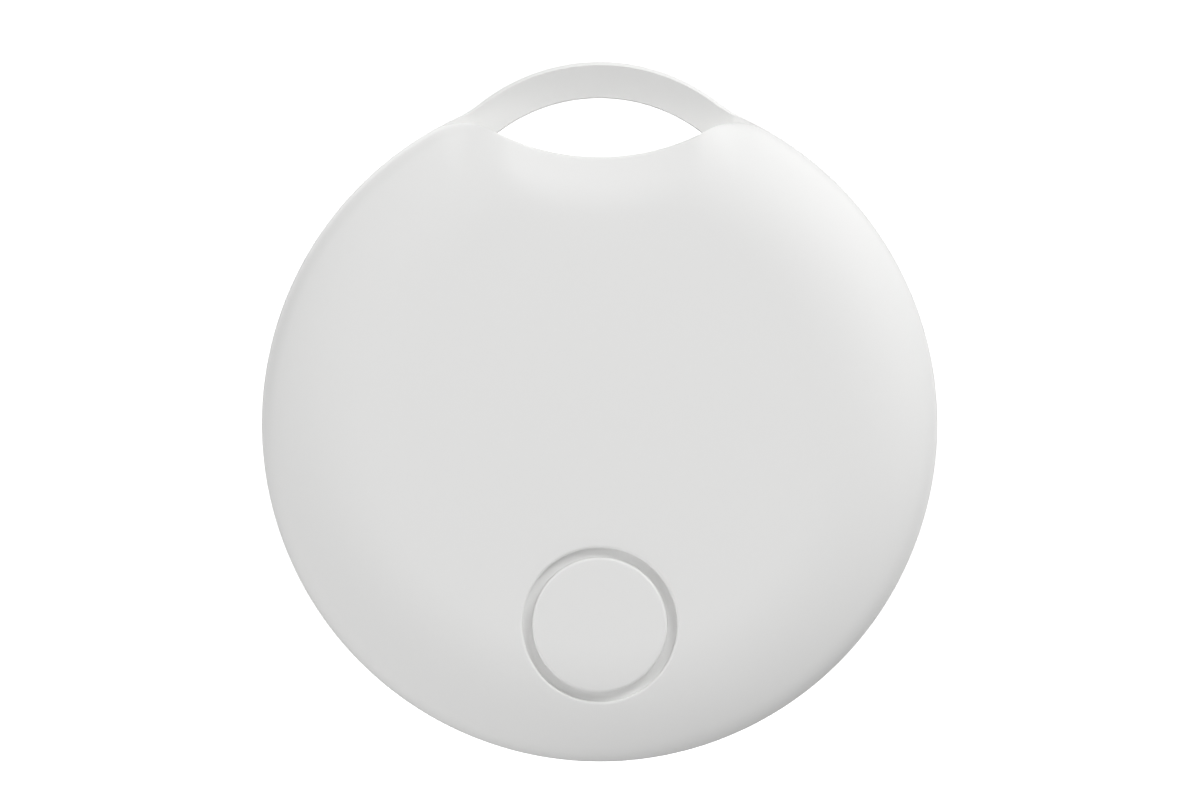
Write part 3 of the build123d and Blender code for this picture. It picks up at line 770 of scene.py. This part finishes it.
@dataclass
class FrontShell:
    """Domed front shell with the button's aperture and the scoop under the loop."""

    spokes: int = 448
    edge_rings: int = 7
    face_rings: int = 78
    lip_share: float = 0.62
    under_rings: int = 18
    blank_radius: float = 2.0
    parting_edge: float = 0.05
    tongue_depth: float = 1.0
    tongue_inset: float = 1.25
    tongue_thickness: float = 0.7

    def build(self) -> list[Piece]:
        """Model the shell and dress it."""
        marks, section = self._section()
        clear_selection()
        bpy.ops.mesh.primitive_circle_add(vertices=len(section), radius=MM, fill_type="NOTHING")
        shell = bpy.context.object
        shell.name = "front_shell_visible"
        levels = np.arange(len(section), dtype=float)
        write_points(shell, np.column_stack([self.blank_radius + 0 * levels, -levels, 0 * levels]))
        with editing(shell, everything=True):
            bpy.ops.mesh.spin(steps=self.spokes, angle=2 * pi, center=(0, 0, 0), axis=(0, 1, 0))
            bpy.ops.mesh.select_all(action="SELECT")
            bpy.ops.mesh.remove_doubles(threshold=MERGE)
        write_points(shell, self._shaped(read_points(shell), marks, section))
        close_up(shell)
        smooth(shell)
        return [finished(shell, Body.TAG, ["front_shell"], CASE_WHITE)]

    def _section(self) -> tuple[list[str], list[Plan]]:
        """Closed section of the wall.

        Returns:
            For each point a mark that says which surface it lies on, and two numbers: the share
            of the way from the aperture to the outline or an inset, and a height where it is set.
        """
        edge = FORM.button_edge
        marks: list[str] = []
        points: list[Plan] = []

        def place(mark: str, first: float, second: float) -> None:
            """Note one point."""
            marks.append(mark)
            points.append((first, second))

        place("bore", 0.0, FORM.pocket_ceiling)
        for down, across in quarter(self.edge_rings):
            place("edge", edge * across, edge * down)
        for ring in range(1, self.face_rings + 1):
            place("face", self._spread(ring / self.face_rings), 0.0)
        place("wall", 0.0, 0.5)
        place("wall", 0.0, 1.0)
        place("foot", self.parting_edge, FORM.parting_height)
        place("foot", self.tongue_inset, FORM.parting_height)
        place("foot", self.tongue_inset, FORM.parting_height - self.tongue_depth)
        tongue_inside = self.tongue_inset + self.tongue_thickness
        place("foot", tongue_inside, FORM.parting_height - self.tongue_depth)
        place("foot", tongue_inside, FORM.rim_height)
        for ring in range(self.under_rings + 1):
            place("under", 1 - ring / self.under_rings, tongue_inside)
        return marks, points

    def _spread(self, share: float) -> float:
        """Share of the plan distance at a ring, with rings crowded towards the outline."""
        return (1 - self.lip_share) * share + self.lip_share * sin(share * pi / 2)

    def _shaped(self, spun: np.ndarray, marks: list[str], section: list[Plan]) -> np.ndarray:
        """Place every vertex of the spun blank on the real surfaces."""
        row = np.rint(-spun[:, 1]).astype(int)
        turn = FORM.crowded(np.arctan2(spun[:, 2], spun[:, 0]))
        mark = np.array(marks)[row]
        first, second = np.array(section)[row].T
        way_x, way_z = np.cos(turn), np.sin(turn)
        start_x, start_z = FORM.button_place
        outline = FORM.reach(turn)
        foot = outline.copy()
        for inset in np.unique(first[mark == "foot"]):
            here = (mark == "foot") & (first == inset)
            foot[here] = FORM.reach(turn[here], inset)
        tongue_inside = FORM.reach(turn, self.tongue_inset + self.tongue_thickness)
        lip_start = FORM.aperture_radius + FORM.button_edge
        surfaces = [mark == name for name in ("bore", "edge", "face", "wall", "foot")]
        distance = np.select(
            surfaces,
            [
                np.full(len(row), FORM.aperture_radius),
                FORM.aperture_radius + first,
                lip_start + (outline - lip_start) * first,
                outline,
                foot,
            ],
            default=FORM.aperture_radius + (tongue_inside - FORM.aperture_radius) * first,
        )
        x = start_x + distance * way_x
        z = start_z + distance * way_z
        face = FORM.face(x, z)
        near_button = distance < FORM.aperture_radius + FORM.wall
        under_face = np.where(near_button, FORM.pocket_ceiling, face - FORM.wall)
        drop = FORM.parting_height + self.parting_edge - face
        levels = [second, face - second, face, face + drop * second, second]
        height = np.select(surfaces, levels, default=under_face)
        return np.column_stack([x, -height, z])


@dataclass
class RearShell:
    """Flat rear shell with the carrying loop, the battery door's bore and the works' seats."""

    outline_points: int = 600
    edge_radius: float = 0.9
    edge_steps: int = 9
    loop_outer_radius: float = 11.5
    loop_outer_centre: float = 9.94
    loop_inner_radius: float = 9.95
    loop_inner_centre: float = 9.39
    loop_root_radius: float = 7.5
    loop_face_tilt: float = radians(17)
    loop_edge: float = 0.32
    face_clearance: float = 0.02
    disc_edge: float = 0.04
    front_bevel: tuple[Plan, ...] = ((0.0, 1.0), (0.06, 0.8), (0.2, 0.56), (0.8, 0.12), (1.0, 0.04))
    hole_edge_front: float = 0.16
    hole_edge_rear: float = 0.55
    hole_points: int = 96
    floor: float = 1.0
    bore_radius: float = 12.17
    bore_bevel: float = 0.15
    collar_radius: float = 13.17
    ledge_inner_radius: float = 11.62
    ledge_base: float = 2.42
    ledge_top: float = 2.87
    boss_radius: float = 1.35
    boss_top: float = 4.6
    boss_hole_radius: float = 0.57
    boss_hole_base: float = 1.98
    screw_ring_radius: float = 14.1
    screw_angles: tuple[float, ...] = (25.0, 155.0, 225.0, 315.0)
    notch_radius: float = 2.6
    notch_centre: float = -11.62
    notch_depth: float = 0.5
    notch_floor_round: float = 0.4
    seat_round: float = 0.1
    overlap: float = 0.2
    margin: float = 1.0

    def build(self) -> list[Piece]:
        """Model the shell and dress it."""
        shell = stacked("rear_shell_visible", self._skin())
        combine(shell, self._face_cutter(), "DIFFERENCE")
        combine(shell, self._hole_cutter(), "DIFFERENCE")
        cavity = prism("cavity", FORM.outline(FORM.wall), self.floor, FORM.thickness)
        combine(shell, cavity, "DIFFERENCE")
        self._add_seats(shell)
        self._cut_bores(shell)
        close_up(shell)
        smooth(shell)
        weigh_normals(shell)
        return [finished(shell, Body.TAG, ["rear_shell"], CASE_WHITE)]

    def _outline(self) -> tuple[np.ndarray, np.ndarray, np.ndarray]:
        """Outer outline, its outward normals, and how much of a point belongs to the loop."""
        to_axis = FORM.body_radius + self.loop_root_radius
        to_loop = self.loop_outer_radius + self.loop_root_radius
        loop_z = self.loop_outer_centre
        root_z = (to_axis**2 - to_loop**2 + loop_z**2) / (2 * loop_z)
        root_x = sqrt(to_axis**2 - root_z**2)
        disc_start = atan2(root_z, root_x)
        loop_start = atan2(root_z - loop_z, root_x)
        arcs = [
            ((0.0, 0.0), FORM.body_radius, -pi - disc_start, disc_start, 0.66, 0.0, 0.0),
            ((root_x, root_z), -self.loop_root_radius, pi + disc_start, pi + loop_start, 0.06, 0.0, 1.0),
            ((0.0, loop_z), self.loop_outer_radius, loop_start, pi - loop_start, 0.22, 1.0, 1.0),
            ((-root_x, root_z), -self.loop_root_radius, -loop_start, -disc_start, 0.06, 1.0, 0.0),
        ]
        points, normals, shares = [], [], []
        for centre, radius, start, end, share, begins, ends in arcs:
            count = round(self.outline_points * share)
            angle = np.linspace(start, end, count, endpoint=False)
            normal = np.column_stack([np.cos(angle), np.sin(angle)])
            points.append(np.array(centre) + normal * abs(radius))
            normals.append(normal * np.sign(radius))
            shares.append(np.linspace(begins, ends, count, endpoint=False))
        return np.vstack(points), np.vstack(normals), np.concatenate(shares)

    def _skin(self) -> list[np.ndarray]:
        """Rings of the outer skin, from the rear face round its edge to the parting plane."""
        points, normals, share = self._outline()
        rings = []
        even = np.ones(len(points))

        def ring(inset: np.ndarray | float, height: np.ndarray | float) -> None:
            """Note one ring."""
            moved = points - normals * (even * inset)[:, None]
            rings.append(np.column_stack([moved[:, 0], even * height, moved[:, 1]]))

        for across, rise in quarter(self.edge_steps):
            ring(self.edge_radius * across, self.edge_radius * rise)
        front_edge = self.disc_edge + (self.loop_edge - self.disc_edge) * share
        for across, down in self.front_bevel:
            ring(front_edge * across, FORM.parting_height - front_edge * down)
        return rings

    def _face_cutter(self) -> Piece:
        """What lies in front of the band's leaning face and outside the front shell."""
        lean = tan(self.loop_face_tilt)
        reach = 2 * self.loop_outer_radius
        section = [
            (0.0, FORM.parting_height - self.loop_outer_radius * lean),
            (reach, FORM.parting_height + (reach - self.loop_outer_radius) * lean),
            (reach, FORM.thickness + self.margin),
            (0.0, FORM.thickness + self.margin),
        ]
        cutter = turned("band_face", section, (0.0, self.loop_outer_centre), 240)
        kept = FORM.outline(-self.face_clearance)
        keep = prism("front_outline", kept, -self.margin, FORM.thickness + self.margin)
        combine(cutter, keep, "DIFFERENCE")
        return cutter

    def _hole_cutter(self) -> Piece:
        """Lens-shaped hole that flares at both faces."""
        rings = [self._lens(-self.margin, self.hole_edge_rear, self.hole_edge_rear)]
        for flare, rise in quarter(self.edge_steps):
            flare *= self.hole_edge_rear
            rings.append(self._lens(self.hole_edge_rear * rise, flare, flare))
        inner_reach = self.loop_outer_radius - self.loop_inner_radius
        front = FORM.parting_height - inner_reach * tan(self.loop_face_tilt)
        for down, flare in quarter(self.edge_steps):
            height = front - self.hole_edge_front * down
            rings.append(self._lens(height, self.hole_edge_front * flare, 0.0))
        rings.append(self._lens(FORM.thickness, self.hole_edge_front, 0.0))
        return stacked("hole", rings)

    def _lens(self, height: float, loop_flare: float, scoop_flare: float) -> np.ndarray:
        """One ring of the hole: an arc of the loop's inside and an arc of the scoop."""
        upper = self.loop_inner_radius + loop_flare
        lower = FORM.scoop_radius + scoop_flare
        gap = FORM.scoop_centre - self.loop_inner_centre
        rise = (gap**2 + upper**2 - lower**2) / (2 * gap)
        half = sqrt(upper**2 - rise**2)
        loop_turn = atan2(rise, half)
        scoop_turn = atan2(gap - rise, half)
        over = np.linspace(loop_turn, pi - loop_turn, self.hole_points, endpoint=False)
        under = np.linspace(scoop_turn - pi, -scoop_turn, self.hole_points, endpoint=False)
        x = np.concatenate([upper * np.cos(over), lower * np.cos(under)])
        z_over = self.loop_inner_centre + upper * np.sin(over)
        z_under = FORM.scoop_centre + lower * np.sin(under)
        return np.column_stack([x, np.full(len(x), height), np.concatenate([z_over, z_under])])

    def _add_seats(self, shell: Piece) -> None:
        """Collar and ledge round the battery door, and the posts for the board's screws."""
        sunk = self.floor / 2
        collar = [
            (self.bore_radius - self.overlap, sunk, 0.0),
            (self.collar_radius, sunk, 0.0),
            (self.collar_radius, self.ledge_top, self.seat_round),
            (self.ledge_inner_radius, self.ledge_top, self.seat_round),
            (self.ledge_inner_radius, self.ledge_base, self.seat_round),
            (self.bore_radius, self.ledge_base, 0.0),
            (self.bore_radius, self.floor - self.overlap / 2, 0.0),
            (self.bore_radius - self.overlap, self.floor - self.overlap / 2, 0.0),
        ]
        combine(shell, turned("collar", rounded(collar, 3), steps=240), "UNION")
        for angle in self.screw_angles:
            ring = self.screw_ring_radius
            place = (ring * cos(radians(angle)), ring * sin(radians(angle)))
            post = self._rod(self.boss_radius, sunk, self.boss_top)
            combine(shell, turned("post", post, place, 40), "UNION")
            hole = self._rod(self.boss_hole_radius, self.boss_hole_base, FORM.thickness)
            combine(shell, turned("pilot", hole, place, 32), "DIFFERENCE")

    def _rod(self, radius: float, base: float, top: float) -> Profile:
        """Section of a plain rod."""
        return [(0.0, base), (radius, base), (radius, top), (0.0, top)]

    def _cut_bores(self, shell: Piece) -> None:
        """Door's bore with its eased edge, and the scallop for a fingernail."""
        top = self.floor + 0.3
        bore = [
            (0.0, -self.margin, 0.0),
            (self.bore_radius + self.bore_bevel + self.margin, -self.margin, 0.0),
            (self.bore_radius, self.bore_bevel, 0.08),
            (self.bore_radius, top, 0.0),
            (0.0, top, 0.0),
        ]
        combine(shell, turned("bore", rounded(bore), steps=480), "DIFFERENCE")
        notch = [
            (0.0, -self.margin, 0.0),
            (self.notch_radius + 0.1, -self.margin, 0.0),
            (self.notch_radius, 0.1, 0.05),
            (self.notch_radius - 0.55, self.notch_depth, self.notch_floor_round),
            (0.0, self.notch_depth, 0.0),
        ]
        place = (0.0, self.notch_centre)
        combine(shell, turned("notch", rounded(notch, 8), place, 96), "DIFFERENCE")


@dataclass
class PushButton:
    """Button cap in the dome, and the soft ring that fills its groove."""

    flange_radius: float = 4.94
    flange_base: float = 6.0
    flange_top: float = 6.25
    recess_radius: float = 3.1
    recess_ceiling: float = 6.6
    pin_radius: float = 0.9
    pin_base: float = 6.4
    face_rings: int = 22
    moulded_edge: float = 0.05
    groove_depth: float = 0.42
    groove_dish: float = 0.06
    groove_steps: int = 12
    seal_gap: float = 0.012
    seal_fit: float = 0.005

    def build(self) -> list[Piece]:
        """Model the cap and the seal and dress them."""
        crown = self._crown()
        edge = FORM.button_edge
        corners = [
            (0.0, self.pin_base, 0.0),
            (self.pin_radius, self.pin_base, self.moulded_edge),
            (self.pin_radius, self.recess_ceiling, 0.0),
            (self.recess_radius, self.recess_ceiling, 0.1),
            (self.recess_radius, self.flange_base, self.moulded_edge),
            (self.flange_radius, self.flange_base, self.moulded_edge),
            (self.flange_radius, self.flange_top, self.moulded_edge),
            (FORM.button_radius, self.flange_top, 0.0),
            (FORM.button_radius, crown, edge),
            (0.0, crown, 0.0),
        ]
        section = rounded(corners, steps=7)
        flat = FORM.button_radius - edge
        rings = [(flat * (1 - ring / self.face_rings), crown) for ring in range(1, self.face_rings)]
        cap = turned("button_cap_visible", section[:-1] + rings + section[-1:], FORM.button_place, 192)
        self._follow_dome(cap, self.recess_ceiling + 0.2)
        smooth(cap)
        seal = turned("button_seal_visible", self._seal_section(crown), FORM.button_place, 192)
        self._follow_dome(seal, FORM.pocket_ceiling + 0.1)
        smooth(seal)
        return [
            finished(cap, Body.BUTTON, ["button_cap"], CASE_WHITE),
            finished(seal, Body.TAG, ["button_seal"], SOFT_WHITE),
        ]

    def _crown(self) -> float:
        """Height of the dome on the button's axis."""
        return float(FORM.dome(np.array([hypot(*FORM.button_place)]))[0])

    def _seal_section(self, crown: float) -> Profile:
        """Ring section whose top is a shallow trough."""
        inner = FORM.button_radius + self.seal_gap
        outer = FORM.aperture_radius - self.seal_fit
        top = crown - self.groove_depth
        middle, half = (inner + outer) / 2, (outer - inner) / 2
        trough = []
        for step in range(self.groove_steps + 1):
            across = 1 - 2 * step / self.groove_steps
            trough.append((middle + half * across, top - self.groove_dish * (1 - across**2)))
        return [(inner, FORM.pocket_ceiling), (outer, FORM.pocket_ceiling), *trough]

    def _follow_dome(self, piece: Piece, above: float) -> None:
        """Lay what is forward of a height over the dome instead of flat."""
        points = read_points(piece)
        forward = -points[:, 1] > above
        drop = FORM.dome(np.hypot(points[:, 0], points[:, 2])) - self._crown()
        points[:, 1] -= np.where(forward, drop, 0.0)
        write_points(piece, points)


@dataclass
class BatteryDoor:
    """Coin-slotted battery door, its sealing ring, and the cell's can behind it."""

    radius: float = 12.12
    outer_face: float = 0.05
    inner_face: float = 0.95
    edge: float = 0.2
    spigot_inner: float = 10.3
    spigot_outer: float = 11.25
    lip_base: float = 1.87
    lip_top: float = 2.37
    moulded_edge: float = 0.08
    grip_length: float = 11.0
    grip_width: float = 2.6
    grip_depth: float = 0.35
    grip_floor_round: float = 0.25
    grip_mouth: tuple[Plan, ...] = ((-0.12, -1.0), (-0.12, -0.02), (-0.03, 0.03), (0.0, 0.1))
    grip_end_points: int = 40
    gasket_radius: float = 11.7
    gasket_wire: float = 0.45
    gasket_steps: int = 28
    gasket_flash: float = 0.015
    cell_radius: float = 10.0
    cell_base: float = 1.0
    crimp_height: float = 3.9
    cell_metal: float = 0.25
    crimp_inner: float = 9.3
    cell_step_radius: float = 8.6
    cell_step: float = 0.04
    cell_edge: float = 0.22
    sheet_edge: float = 0.05
    sign_length: float = 3.2
    sign_width: float = 0.5
    sign_place: float = 5.6
    sign_depth: float = 0.09

    def build(self) -> list[Piece]:
        """Model the door, the ring and the can and dress them."""
        return [self._door(), self._gasket(), self._can()]

    def _door(self) -> Piece:
        """Door with its spigot and the groove for the ring."""
        corners = [
            (0.0, self.outer_face, 0.0),
            (self.radius, self.outer_face, self.edge),
            (self.radius, self.inner_face, 0.05),
            (self.spigot_outer, self.inner_face, self.moulded_edge),
            (self.spigot_outer, self.lip_base, self.moulded_edge),
            (self.radius, self.lip_base, self.moulded_edge),
            (self.radius, self.lip_top, self.moulded_edge),
            (self.spigot_inner, self.lip_top, self.moulded_edge),
            (self.spigot_inner, self.inner_face, self.moulded_edge),
            (0.0, self.inner_face, 0.0),
        ]
        door = turned("battery_door_visible", rounded(corners), steps=480)
        combine(door, self._grip_cutter(), "DIFFERENCE")
        close_up(door)
        smooth(door)
        weigh_normals(door)
        return finished(door, Body.DOOR, ["battery_door"], CASE_WHITE)

    def _grip_cutter(self) -> Piece:
        """Slot with round ends and a rounded floor."""
        half = self.grip_width / 2
        run = self.grip_length / 2 - half
        levels = list(self.grip_mouth)
        for down, inset in quarter(6):
            levels.append((self.grip_floor_round * inset, self.grip_depth - self.grip_floor_round * down))
        right = np.linspace(-pi / 2, pi / 2, self.grip_end_points)
        turn = np.concatenate([right, right + pi])
        ends = np.repeat([run, -run], self.grip_end_points)
        rings = []
        for inset, height in levels:
            radius = half - inset
            level = np.full(len(turn), self.outer_face + height)
            rings.append(np.column_stack([ends + radius * np.cos(turn), level, radius * np.sin(turn)]))
        return stacked("grip", rings)

    def _gasket(self) -> Piece:
        """Round sealing ring with a moulding flash line on its outside."""
        centre = self.inner_face + self.gasket_wire
        section = []
        for step in range(self.gasket_steps):
            angle = 2 * pi * step / self.gasket_steps
            wire = self.gasket_wire + (self.gasket_flash if step == 0 else 0.0)
            section.append((self.gasket_radius + wire * cos(angle), centre + wire * sin(angle)))
        ring = turned("door_gasket_visible", section, steps=240)
        smooth(ring, radians(60))
        return finished(ring, Body.DOOR, ["door_gasket"], SEAL_GREY)

    def _can(self) -> Piece:
        """Cell's can: drawn cup with a crimped rim, a stepped face and a polarity sign."""
        metal = self.cell_metal
        base = self.cell_base
        corners = [
            (0.0, base + self.cell_step, 0.0),
            (self.cell_step_radius, base + self.cell_step, 0.1),
            (self.cell_step_radius + 0.1, base, 0.1),
            (self.cell_radius, base, self.cell_edge),
            (self.cell_radius, self.crimp_height, self.cell_edge),
            (self.crimp_inner, self.crimp_height, self.sheet_edge),
            (self.crimp_inner, self.crimp_height - metal, self.sheet_edge),
            (self.cell_radius - metal, self.crimp_height - metal, self.sheet_edge),
            (self.cell_radius - metal, base + metal, self.sheet_edge),
            (0.0, base + metal, 0.0),
        ]
        can = turned("cell_can_visible", rounded(corners), steps=320)
        for size in ((self.sign_length, self.sign_width), (self.sign_width, self.sign_length)):
            combine(can, self._bar(*size), "DIFFERENCE")
        close_up(can)
        smooth(can)
        weigh_normals(can)
        return finished(can, Body.TAG, ["cell_can"], CELL_STEEL)

    def _bar(self, length: float, width: float) -> Piece:
        """One bar of the stamped plus sign."""
        x = np.array([-1, 1, 1, -1]) * length / 2
        z = np.array([-1, -1, 1, 1]) * width / 2 + self.sign_place
        return prism("bar", np.column_stack([x, z]), self.cell_base - 0.5, self.cell_base + self.sign_depth)


def dress_works() -> None:
    """Put each slot's finish on every CAD piece."""
    known = {coat.name: coat for coat in FINISHES}
    for name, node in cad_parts.items():
        for place in node.material_slots:
            slot = place.material.name.split(".")[0] if place.material else ""
            if slot in known:
                place.material = known[slot].material()
            else:
                log.warning("%s has no finish for slot %r", name, slot)


@dataclass(frozen=True)
class SoftLight:
    """Round soft light that faces the tag."""

    name: str
    place: tuple[float, float, float]
    watts: float
    size: float = 300.0

    def build(self) -> None:
        """Hang the light, out of the camera's sight."""
        lamp = bpy.data.lights.new(self.name, "AREA")
        lamp.shape = "DISK"
        lamp.size = self.size * MM
        lamp.energy = self.watts
        light = bpy.data.objects.new(self.name, lamp)
        bpy.context.scene.collection.objects.link(light)
        light.location = Vector(self.place) * MM
        light.rotation_euler = (-light.location).to_track_quat("-Z", "Y").to_euler()
        light.visible_camera = False


LIGHTS = (
    SoftLight("key", (330.0, -300.0, 420.0), 1.78),
    SoftLight("key_edge", (420.0, 60.0, 420.0), 0.72),
    SoftLight("top", (60.0, -150.0, 600.0), 0.49),
    SoftLight("left", (-600.0, -150.0, -30.0), 1.03),
    SoftLight("low_left", (-420.0, -150.0, -420.0), 0.33),
    SoftLight("below", (0.0, -200.0, -600.0), 0.57),
    SoftLight("low_right", (430.0, -200.0, -400.0), 0.45),
    SoftLight("front", (0.0, -650.0, 80.0), 0.32),
    SoftLight("front_right", (300.0, -560.0, 300.0), 0.2),
    SoftLight("front_left", (-350.0, -520.0, 0.0), 0.45),
    SoftLight("rear_key", (-260.0, 600.0, 320.0), 1.9),
    SoftLight("rear_fill", (360.0, 560.0, -60.0), 0.7),
)


@dataclass
class Studio:
    """Pale floor, white surroundings, soft lights and the camera."""

    floor_height: float = -36.0
    floor_glow: float = 1.02
    sky_radius: float = 1500.0
    sky_glow: float = 1.05
    ambient: float = 0.247
    camera_distance: float = 603.2
    camera_place: Plan = (0.018, 1.411)
    lens: float = 304.2
    sensor_width: float = 36.0
    clip_start: float = 0.01
    clip_end: float = 50.0

    def build(self) -> None:
        """Set up everything round the tag."""
        self._world()
        self._floor()
        self._sky()
        for light in LIGHTS:
            light.build()
        self._camera()
        bpy.context.scene.view_settings.view_transform = "Standard"

    def _world(self) -> None:
        """Even grey light from all round."""
        world = bpy.data.worlds.new("studio")
        world.use_nodes = True
        sockets = world.node_tree.nodes["Background"].inputs
        sockets["Color"].default_value = (1.0, 1.0, 1.0, 1.0)
        sockets["Strength"].default_value = self.ambient
        bpy.context.scene.world = world

    def _floor(self) -> None:
        """Plain pale floor below the hanging tag."""
        clear_selection()
        bpy.ops.mesh.primitive_circle_add(
            vertices=96,
            radius=self.sky_radius * MM,
            fill_type="NGON",
            location=(0, 0, self.floor_height * MM),
        )
        floor = bpy.context.object
        floor.name = "floor"
        floor.data.materials.append(self._glowing("floor_white", self.floor_glow))
        self._backdrop(floor)

    def _sky(self) -> None:
        """White surroundings."""
        clear_selection()
        bpy.ops.mesh.primitive_uv_sphere_add(segments=64, ring_count=32, radius=self.sky_radius * MM)
        sky = bpy.context.object
        sky.name = "surroundings"
        sky.data.materials.append(self._glowing("sky_white", self.sky_glow))
        self._backdrop(sky)

    def _backdrop(self, piece: Piece) -> None:
        """Keep a backdrop out of the object, the lighting and the shadows."""
        piece.visible_diffuse = False
        piece.visible_glossy = False
        piece.visible_transmission = False
        piece.visible_shadow = False

    def _glowing(self, name: str, glow: float) -> Material:
        """Matte white that also gives some light of its own."""
        graph = Graph(name)
        white = (1.0, 1.0, 1.0)
        graph.set(Base_Color=shade(white, 0.9), Roughness=0.9, Emission_Color=white, Emission_Strength=glow)
        return graph.material

    def _camera(self) -> None:
        """Camera straight in front of the tag."""
        lens = bpy.data.cameras.new("camera")
        lens.sensor_width = self.sensor_width
        lens.lens = self.lens
        lens.clip_start = self.clip_start
        lens.clip_end = self.clip_end
        camera = bpy.data.objects.new("camera", lens)
        bpy.context.scene.collection.objects.link(camera)
        camera.location = Vector((self.camera_place[0], -self.camera_distance, self.camera_place[1])) * MM
        camera.rotation_euler = (pi / 2, 0.0, 0.0)
        bpy.context.scene.camera = camera


def main() -> None:
    """Build every sub-assembly in order and report its pieces."""
    logging.basicConfig(level=logging.INFO, format="%(name)s: %(message)s", stream=sys.stdout)
    dress_works()
    for assembly in (FrontShell(), RearShell(), PushButton(), BatteryDoor()):
        log.info("%s: %s", type(assembly).__name__, ", ".join(piece.name for piece in assembly.build()))
    Studio().build()


if __name__ == "__main__":
    main()
